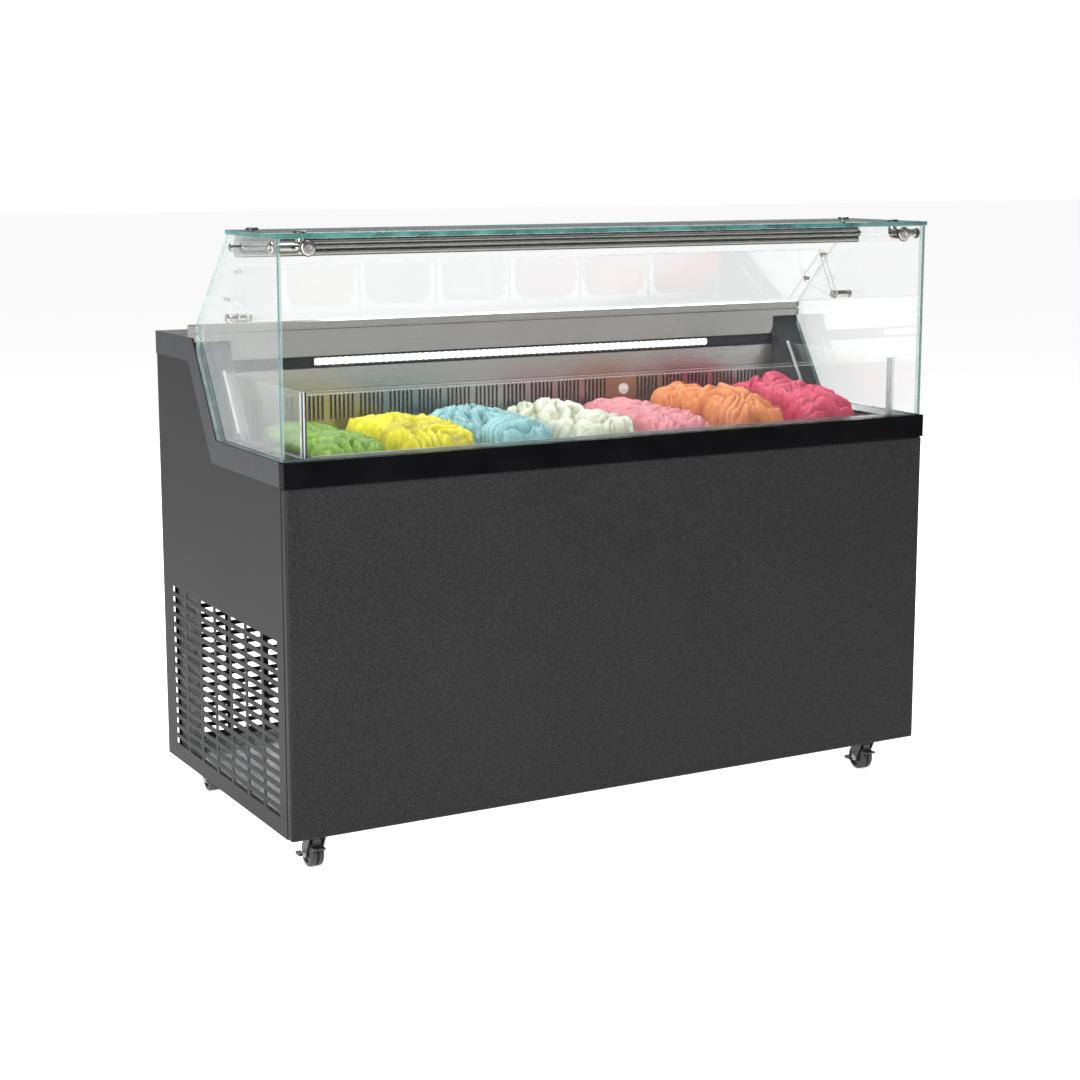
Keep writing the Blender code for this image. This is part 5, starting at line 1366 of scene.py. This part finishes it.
@dataclass
class Machinery:
    """What the side slots give a view of: compressor, condenser, fan, evaporator and pipes."""

    fin_pitch: float = 0.0042
    fin_thickness: float = 0.0004
    blades: int = 5
    blade_reach: Point = (0.028, 0.116)
    fan_z: float = 0.270
    plate: float = 0.003

    def build(self) -> None:
        """Dress the machine nodes and add fins, blades and pipes."""
        dress(MACHINE_BLACK, "compressor")
        dress(MACHINE_GREY, "fan_shroud")
        fins, coil, black = [FIN_METAL, DULL_METAL], "coil_metal", "machine_black"
        piece("condenser_fins", self.condenser, fins, stands_for=["condenser"], sharp=20.0)
        piece("condenser_bends", self.bends, [COPPER])
        fins, old = [FIN_METAL, STEEL], ["evaporator"]
        piece("evaporator_fins", self.evaporator, fins, stands_for=old, sharp=20.0)
        piece("fan_blades", self.fan, [MACHINE_BLACK], "fan", ["fan_rotor"], sharp=50.0)
        piece("copper_pipes", self.pipes, [COPPER])
        piece("compressor_trim", self.trim, [MACHINE_BLACK, DULL_METAL])

    def condenser(self, shape: Shape) -> None:
        """Add the condenser: a stack of thin fins between two end plates.

        Args:
            shape: the bmesh to add to.
        """
        low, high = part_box("condenser")
        plate = self.plate
        for y in (low[1], high[1] - plate):
            block(shape, (low[0], y, low[2]), (high[0], y + plate, high[2]), 1)
        for z in (low[2], high[2] - plate):
            block(shape, (low[0], low[1] + plate, z), (high[0], high[1] - plate, z + plate), 1)
        y = low[1] + 2 * plate
        while y < high[1] - 2 * plate:
            corner = (high[0] - 0.002, y + self.fin_thickness, high[2] - plate)
            block(shape, (low[0] + 0.002, y, low[2] + plate), corner)
            y += self.fin_pitch

    def bends(self, shape: Shape) -> None:
        """Add the copper bends at the condenser's ends.

        Args:
            shape: the bmesh to add to.
        """
        low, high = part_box("condenser")
        x = (low[0] + high[0]) / 2
        for side, y in ((-1, low[1]), (1, high[1])):
            z = low[2] + (0.030 if side < 0 else 0.055)
            while z + 0.025 < high[2] - 0.010:
                bend = ((0.0, 0.0), (0.014, 0.003), (0.018, 0.0125), (0.014, 0.022), (0.0, 0.025))
                path = [(x, y + side * reach, z + up) for reach, up in bend]
                tube(shape, path, 0.004, 10, 4)
                z += 0.050

    def evaporator(self, shape: Shape) -> None:
        """Add the evaporator: upright fins with straight tubes through them.

        Args:
            shape: the bmesh to add to.
        """
        low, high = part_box("evaporator")
        x = low[0] + 0.004
        while x < high[0] - 0.004:
            block(shape, (x, low[1], low[2]), (x + self.fin_thickness, high[1], high[2]))
            x += self.fin_pitch * 1.6
        for row in range(4):
            for column in range(3):
                y = low[1] + 0.020 + 0.030 * column
                z = low[2] + 0.025 + 0.035 * row
                lathe(shape, disc(0.005, high[0] - low[0]), (low[0], y, z), (1, 0, 0), 10, 1)

    def fan(self, shape: Shape) -> None:
        """Add the fan: a domed hub and blades that twist towards their tips.

        Args:
            shape: the bmesh to add to.
        """
        low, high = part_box("fan_rotor")
        depth = high[0] - low[0]
        shares = ((0.0, 0.0), (0.030, 0.0), (0.030, 0.7), (0.026, 0.92), (0.018, 1.0), (0.0, 1.0))
        hub = [(radius, depth * share) for radius, share in shares]
        lathe(shape, hub, (low[0], 0.0, self.fan_z), (1, 0, 0), 40)
        root, tip = self.blade_reach
        middle_x = low[0] + depth / 2
        for number in range(self.blades):
            turn = 2 * math.pi * number / self.blades
            rows = []
            for ring in range(9):
                radius = root + (tip - root) * ring / 8
                half_angle = 0.38 + 0.10 * math.sin(math.pi * ring / 8)
                tilt = 0.0080 - 0.0025 * ring / 8
                row = []
                for step in range(9):
                    share = 2 * step / 8 - 1
                    angle = turn + share * half_angle + 0.22 * ring / 8
                    x = middle_x + tilt * share * (1 - 0.25 * share * share)
                    row.append((x, radius * math.sin(angle), self.fan_z + radius * math.cos(angle)))
                rows.append(row)
            self.thin_sheet(shape, rows, 0.0012)

    @staticmethod
    def thin_sheet(shape: Shape, rows: Sequence[Sequence[Point]], thickness: float) -> None:
        """Add a closed curved sheet.

        Args:
            shape: the bmesh to add to.
            rows: a grid of points on one face.
            thickness: the sheet's thickness along X.
        """
        near = [[shape.verts.new(point) for point in row] for row in rows]
        far = [[shape.verts.new((x + thickness, y, z)) for x, y, z in row] for row in rows]
        last = len(rows) - 1
        wide = len(rows[0]) - 1
        for row in range(last):
            for step in range(wide):
                up, on = row + 1, step + 1
                shape.faces.new((near[row][step], near[row][on], near[up][on], near[up][step]))
                shape.faces.new((far[row][step], far[up][step], far[up][on], far[row][on]))
        rim = [(row, 0) for row in range(last)] + [(last, step) for step in range(wide)]
        rim += [(row, wide) for row in range(last, 0, -1)] + [(0, step) for step in range(wide, 0, -1)]
        for (a, b), (c, d) in zip(rim, rim[1:] + rim[:1]):
            shape.faces.new((near[a][b], near[c][d], far[c][d], far[a][b]))

    def pipes(self, shape: Shape) -> None:
        """Add the copper pipes between compressor, condenser and the tank above.

        Args:
            shape: the bmesh to add to.
        """
        pot = middle("compressor")
        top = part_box("compressor")[1][2]
        cond_low, cond_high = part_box("condenser")
        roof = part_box("tank_insulation")[0][2]
        cond_x = (cond_low[0] + cond_high[0]) / 2
        discharge = [
            (pot.x + 0.03, pot.y, top - 0.010),
            (pot.x + 0.05, pot.y - 0.01, top + 0.045),
            (pot.x + 0.14, pot.y - 0.06, top + 0.085),
            (pot.x + 0.24, -0.205, top + 0.120),
            (cond_x - 0.06, -0.205, cond_high[2] - 0.045),
            (cond_x, -0.192, cond_high[2] - 0.030),
            (cond_x, -0.176, cond_high[2] - 0.030),
        ]
        tube(shape, discharge, 0.004)
        suction = [
            (pot.x - 0.03, pot.y + 0.02, top - 0.012),
            (pot.x - 0.05, pot.y + 0.04, top + 0.05),
            (pot.x - 0.06, pot.y + 0.10, top + 0.12),
            (pot.x - 0.06, pot.y + 0.14, top + 0.19),
            (pot.x - 0.06, pot.y + 0.15, roof - 0.001),
        ]
        tube(shape, suction, 0.0055)

    def trim(self, shape: Shape) -> None:
        """Add the weld seam of the pot and the bolts of its foot plate.

        Args:
            shape: the bmesh to add to.
        """
        low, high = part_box("compressor")
        centre = Vector((high[0] - 0.090, (low[1] + high[1]) / 2, 0.0))
        seam = low[2] + 0.085
        outline = [(0.0755, 0.0), (0.0785, 0.0015), (0.0785, 0.0045), (0.0755, 0.006)]
        lathe(shape, outline, (centre.x, centre.y, seam), (0, 0, 1), 40)
        for x in (-0.078, 0.078):
            for y in (-0.063, 0.063):
                screw(shape, (centre.x + x, centre.y + y, low[2] + 0.014), (0, 0, 1), 0.007)


@dataclass
class Castor:
    """One swivel castor: fork, axle nuts, brake pedal and a grooved twin-tread wheel."""

    corner: str
    braked: bool

    def build(self) -> None:
        """Replace the plain wheel and add the fine pieces of the fork."""
        fork, wheel = "castor_fork_" + self.corner, "castor_wheel_" + self.corner
        dress(MACHINE_BLACK if self.braked else DULL_METAL, fork)
        turning, swivelling = "wheel_" + self.corner, "castor_" + self.corner
        piece(turning, self.wheel, [TYRE, MACHINE_BLACK], turning, [wheel])
        piece("axle_nuts_" + self.corner, self.nuts, [POLISHED], swivelling)
        if self.braked:
            name = "brake_" + self.corner
            piece(name, self.brake, [MACHINE_BLACK], swivelling, bevel=0.0008)

    def wheel(self, shape: Shape) -> None:
        """Add the wheel: two rounded treads, the groove between them and a hub at each side.

        Args:
            shape: the bmesh to add to.
        """
        low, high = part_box("castor_wheel_" + self.corner)
        half = (high[0] - low[0]) / 2
        radius = (high[2] - low[2]) / 2
        centre = middle("castor_wheel_" + self.corner)
        arc = [math.radians(angle) for angle in (90, 60, 30, 0)]
        steps = ((0.0046, 0.001), (0.010, 0.001), (0.0105, 0.003), (0.016, 0.003), (0.017, 0.0))
        outline = [(r, -half + h) for r, h in steps]
        for a in arc:
            outline.append((radius - 0.004 + 0.004 * math.cos(a), -half + 0.004 - 0.004 * math.sin(a)))
        outline += [(radius, -0.0022), (radius - 0.0045, -0.0012)]
        outline += [(r, -h) for r, h in outline[::-1]]
        lathe(shape, outline, centre, (1, 0, 0), 48)

    def nuts(self, shape: Shape) -> None:
        """Add a six-sided nut and a washer on both ends of the axle.

        Args:
            shape: the bmesh to add to.
        """
        centre = middle("castor_wheel_" + self.corner)
        nut = [(0.0, 0.001), (0.0054, 0.001), (0.0054, 0.0036), (0.0046, 0.0042), (0.0, 0.0042)]
        for side, _ in SIDES:
            face = (centre.x + side * 0.0160, centre.y, centre.z)
            lathe(shape, disc(0.0065, 0.001), face, (side, 0, 0), 24)
            lathe(shape, nut, face, (side, 0, 0), 6)

    def brake(self, shape: Shape) -> None:
        """Add the brake pedal over the wheel.

        Args:
            shape: the bmesh to add to.
        """
        centre = middle("castor_wheel_" + self.corner)
        pedal = ((-0.011, -0.034, 0.012), (0.011, -0.018, 0.016))
        stem = ((-0.008, -0.020, 0.013), (0.008, -0.010, 0.029))
        for low, high in (pedal, stem):
            block(shape, centre + Vector(low), centre + Vector(high))


@dataclass
class Controls:
    """Controller on the rear panel, with its window, keys and rocker."""

    def build(self) -> None:
        """Dress the housing and rocker, and add a window and keys."""
        dress(DECK_BLACK, "controller")
        dress(GREEN_ROCKER, "power_rocker")
        piece("controller_face", self.face, [GLOSS_TRIM, MACHINE_GREY])

    def face(self, shape: Shape) -> None:
        """Add the glossy window and four round keys, let into the housing's face.

        Args:
            shape: the bmesh to add to.
        """
        low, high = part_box("controller")
        y = high[1] - 0.0004
        centre_z = (low[2] + high[2]) / 2
        corner = (low[0] + 0.062, high[1] + 0.0004, centre_z + 0.014)
        block(shape, (low[0] + 0.012, y, centre_z - 0.008), corner)
        for number in range(4):
            base = (low[0] + 0.018 + 0.0127 * number, y, centre_z - 0.018)
            key = [(0.0, 0.0), (0.0036, 0.0), (0.0034, 0.0008), (0.0, 0.0009)]
            lathe(shape, key, base, (0, 1, 0), 20, 1)


@dataclass
class Studio:
    """Floor, sky, soft lights and the camera."""

    eye: Point = (-1.9521, -3.4722, 1.2379)
    heading: float = 29.18
    dip: float = 9.52
    lens: float = 68.66
    rise: float = -0.037
    sky_light: float = 0.27
    floor_light: float = 0.70
    softboxes: tuple[tuple[str, Point, Point, float, float], ...] = (
        ("key_light", (-3.2, -2.0, 2.2), (-0.5, 0.0, 0.5), 2.0, 130.0),
        ("top_light", (0.4, 0.4, 4.2), (0.0, 0.0, 0.8), 3.0, 150.0),
        ("fill_light", (-2.2, -2.6, 1.0), (-0.5, 0.0, 0.5), 1.2, 42.0),
        ("rear_light", (2.5, 4.0, 2.6), (0.0, 0.2, 0.7), 2.4, 110.0),
    )

    def build(self) -> None:
        """Make the camera, the floor and the lights."""
        self.camera()
        self.floor()
        self.sky()
        for light in self.softboxes:
            self.softbox(*light)
        bpy.context.scene.view_settings.view_transform = "Standard"
        bpy.context.scene.cycles.transparent_max_bounces = 32

    def camera(self) -> None:
        """Add the camera at the object's three-quarter view from the left."""
        data = bpy.data.cameras.new("camera")
        data.lens = self.lens
        data.shift_y = self.rise
        obj = bpy.data.objects.new("camera", data)
        bpy.context.scene.collection.objects.link(obj)
        obj.location = self.eye
        obj.rotation_euler = (math.radians(90 - self.dip), 0.0, math.radians(-self.heading))
        bpy.context.scene.camera = obj

    def floor(self) -> None:
        """Add the plain pale floor."""
        graph = Graph.material("pale_floor")
        cloud = graph.noise(0.8)
        colour = graph.mix(cloud, (0.90, 0.90, 0.90), (0.93, 0.93, 0.93))
        glow = {"Emission Color": (1.0, 1.0, 1.0), "Emission Strength": self.floor_light}
        finish = graph.principled({"Base Color": colour, "Roughness": 0.9} | glow)
        shape = bmesh.new()
        bmesh.ops.create_grid(shape, x_segments=1, y_segments=1, size=40.0)
        mesh = bpy.data.meshes.new("floor")
        shape.to_mesh(mesh)
        shape.free()
        mesh.materials.append(finish)
        obj = bpy.data.objects.new("floor", mesh)
        bpy.context.scene.collection.objects.link(obj)

    def sky(self) -> None:
        """Add an even white surround."""
        world = bpy.data.worlds.new("surround")
        bpy.context.scene.world = world
        graph = Graph(world)
        direct = graph.node("ShaderNodeLightPath", output="Is Camera Ray")
        strength = direct * (1.0 - self.sky_light) + self.sky_light
        white = {"Color": (1.0, 1.0, 1.0, 1.0), "Strength": strength}
        sky = graph.node("ShaderNodeBackground", None, white)
        graph.node("ShaderNodeOutputWorld", None, {"Surface": sky})

    def softbox(self, name: str, place: Point, target: Point, size: float, power: float) -> None:
        """Add a large soft light.

        Args:
            name: its name.
            place: where it stands.
            target: the point it is aimed at.
            size: the side of its square face.
            power: its power in watts.
        """
        data = bpy.data.lights.new(name, "AREA")
        data.size = size
        data.energy = power
        obj = bpy.data.objects.new(name, data)
        obj.location = place
        obj.rotation_euler = (Vector(target) - Vector(place)).to_track_quat("-Z", "Y").to_euler()
        bpy.context.scene.collection.objects.link(obj)


def main() -> None:
    """Build the studio and each sub-assembly in order, and report each piece."""
    logging.basicConfig(level=logging.INFO, format="%(message)s")
    corners = [end + "_" + name for end in ("front", "rear") for _, name in SIDES]
    castors = [Castor(corner, corner.startswith("front")) for corner in corners]
    assemblies = (Studio(), Body(), Tank(), GlassCase(), Display(), Machinery(), *castors, Controls())
    for assembly in assemblies:
        known = set(bpy.data.objects.keys())
        assembly.build()
        for obj in bpy.data.objects:
            if obj.name not in known:
                log.info("%s: %s", type(assembly).__name__, obj.name)


if __name__ == "__main__":
    main()
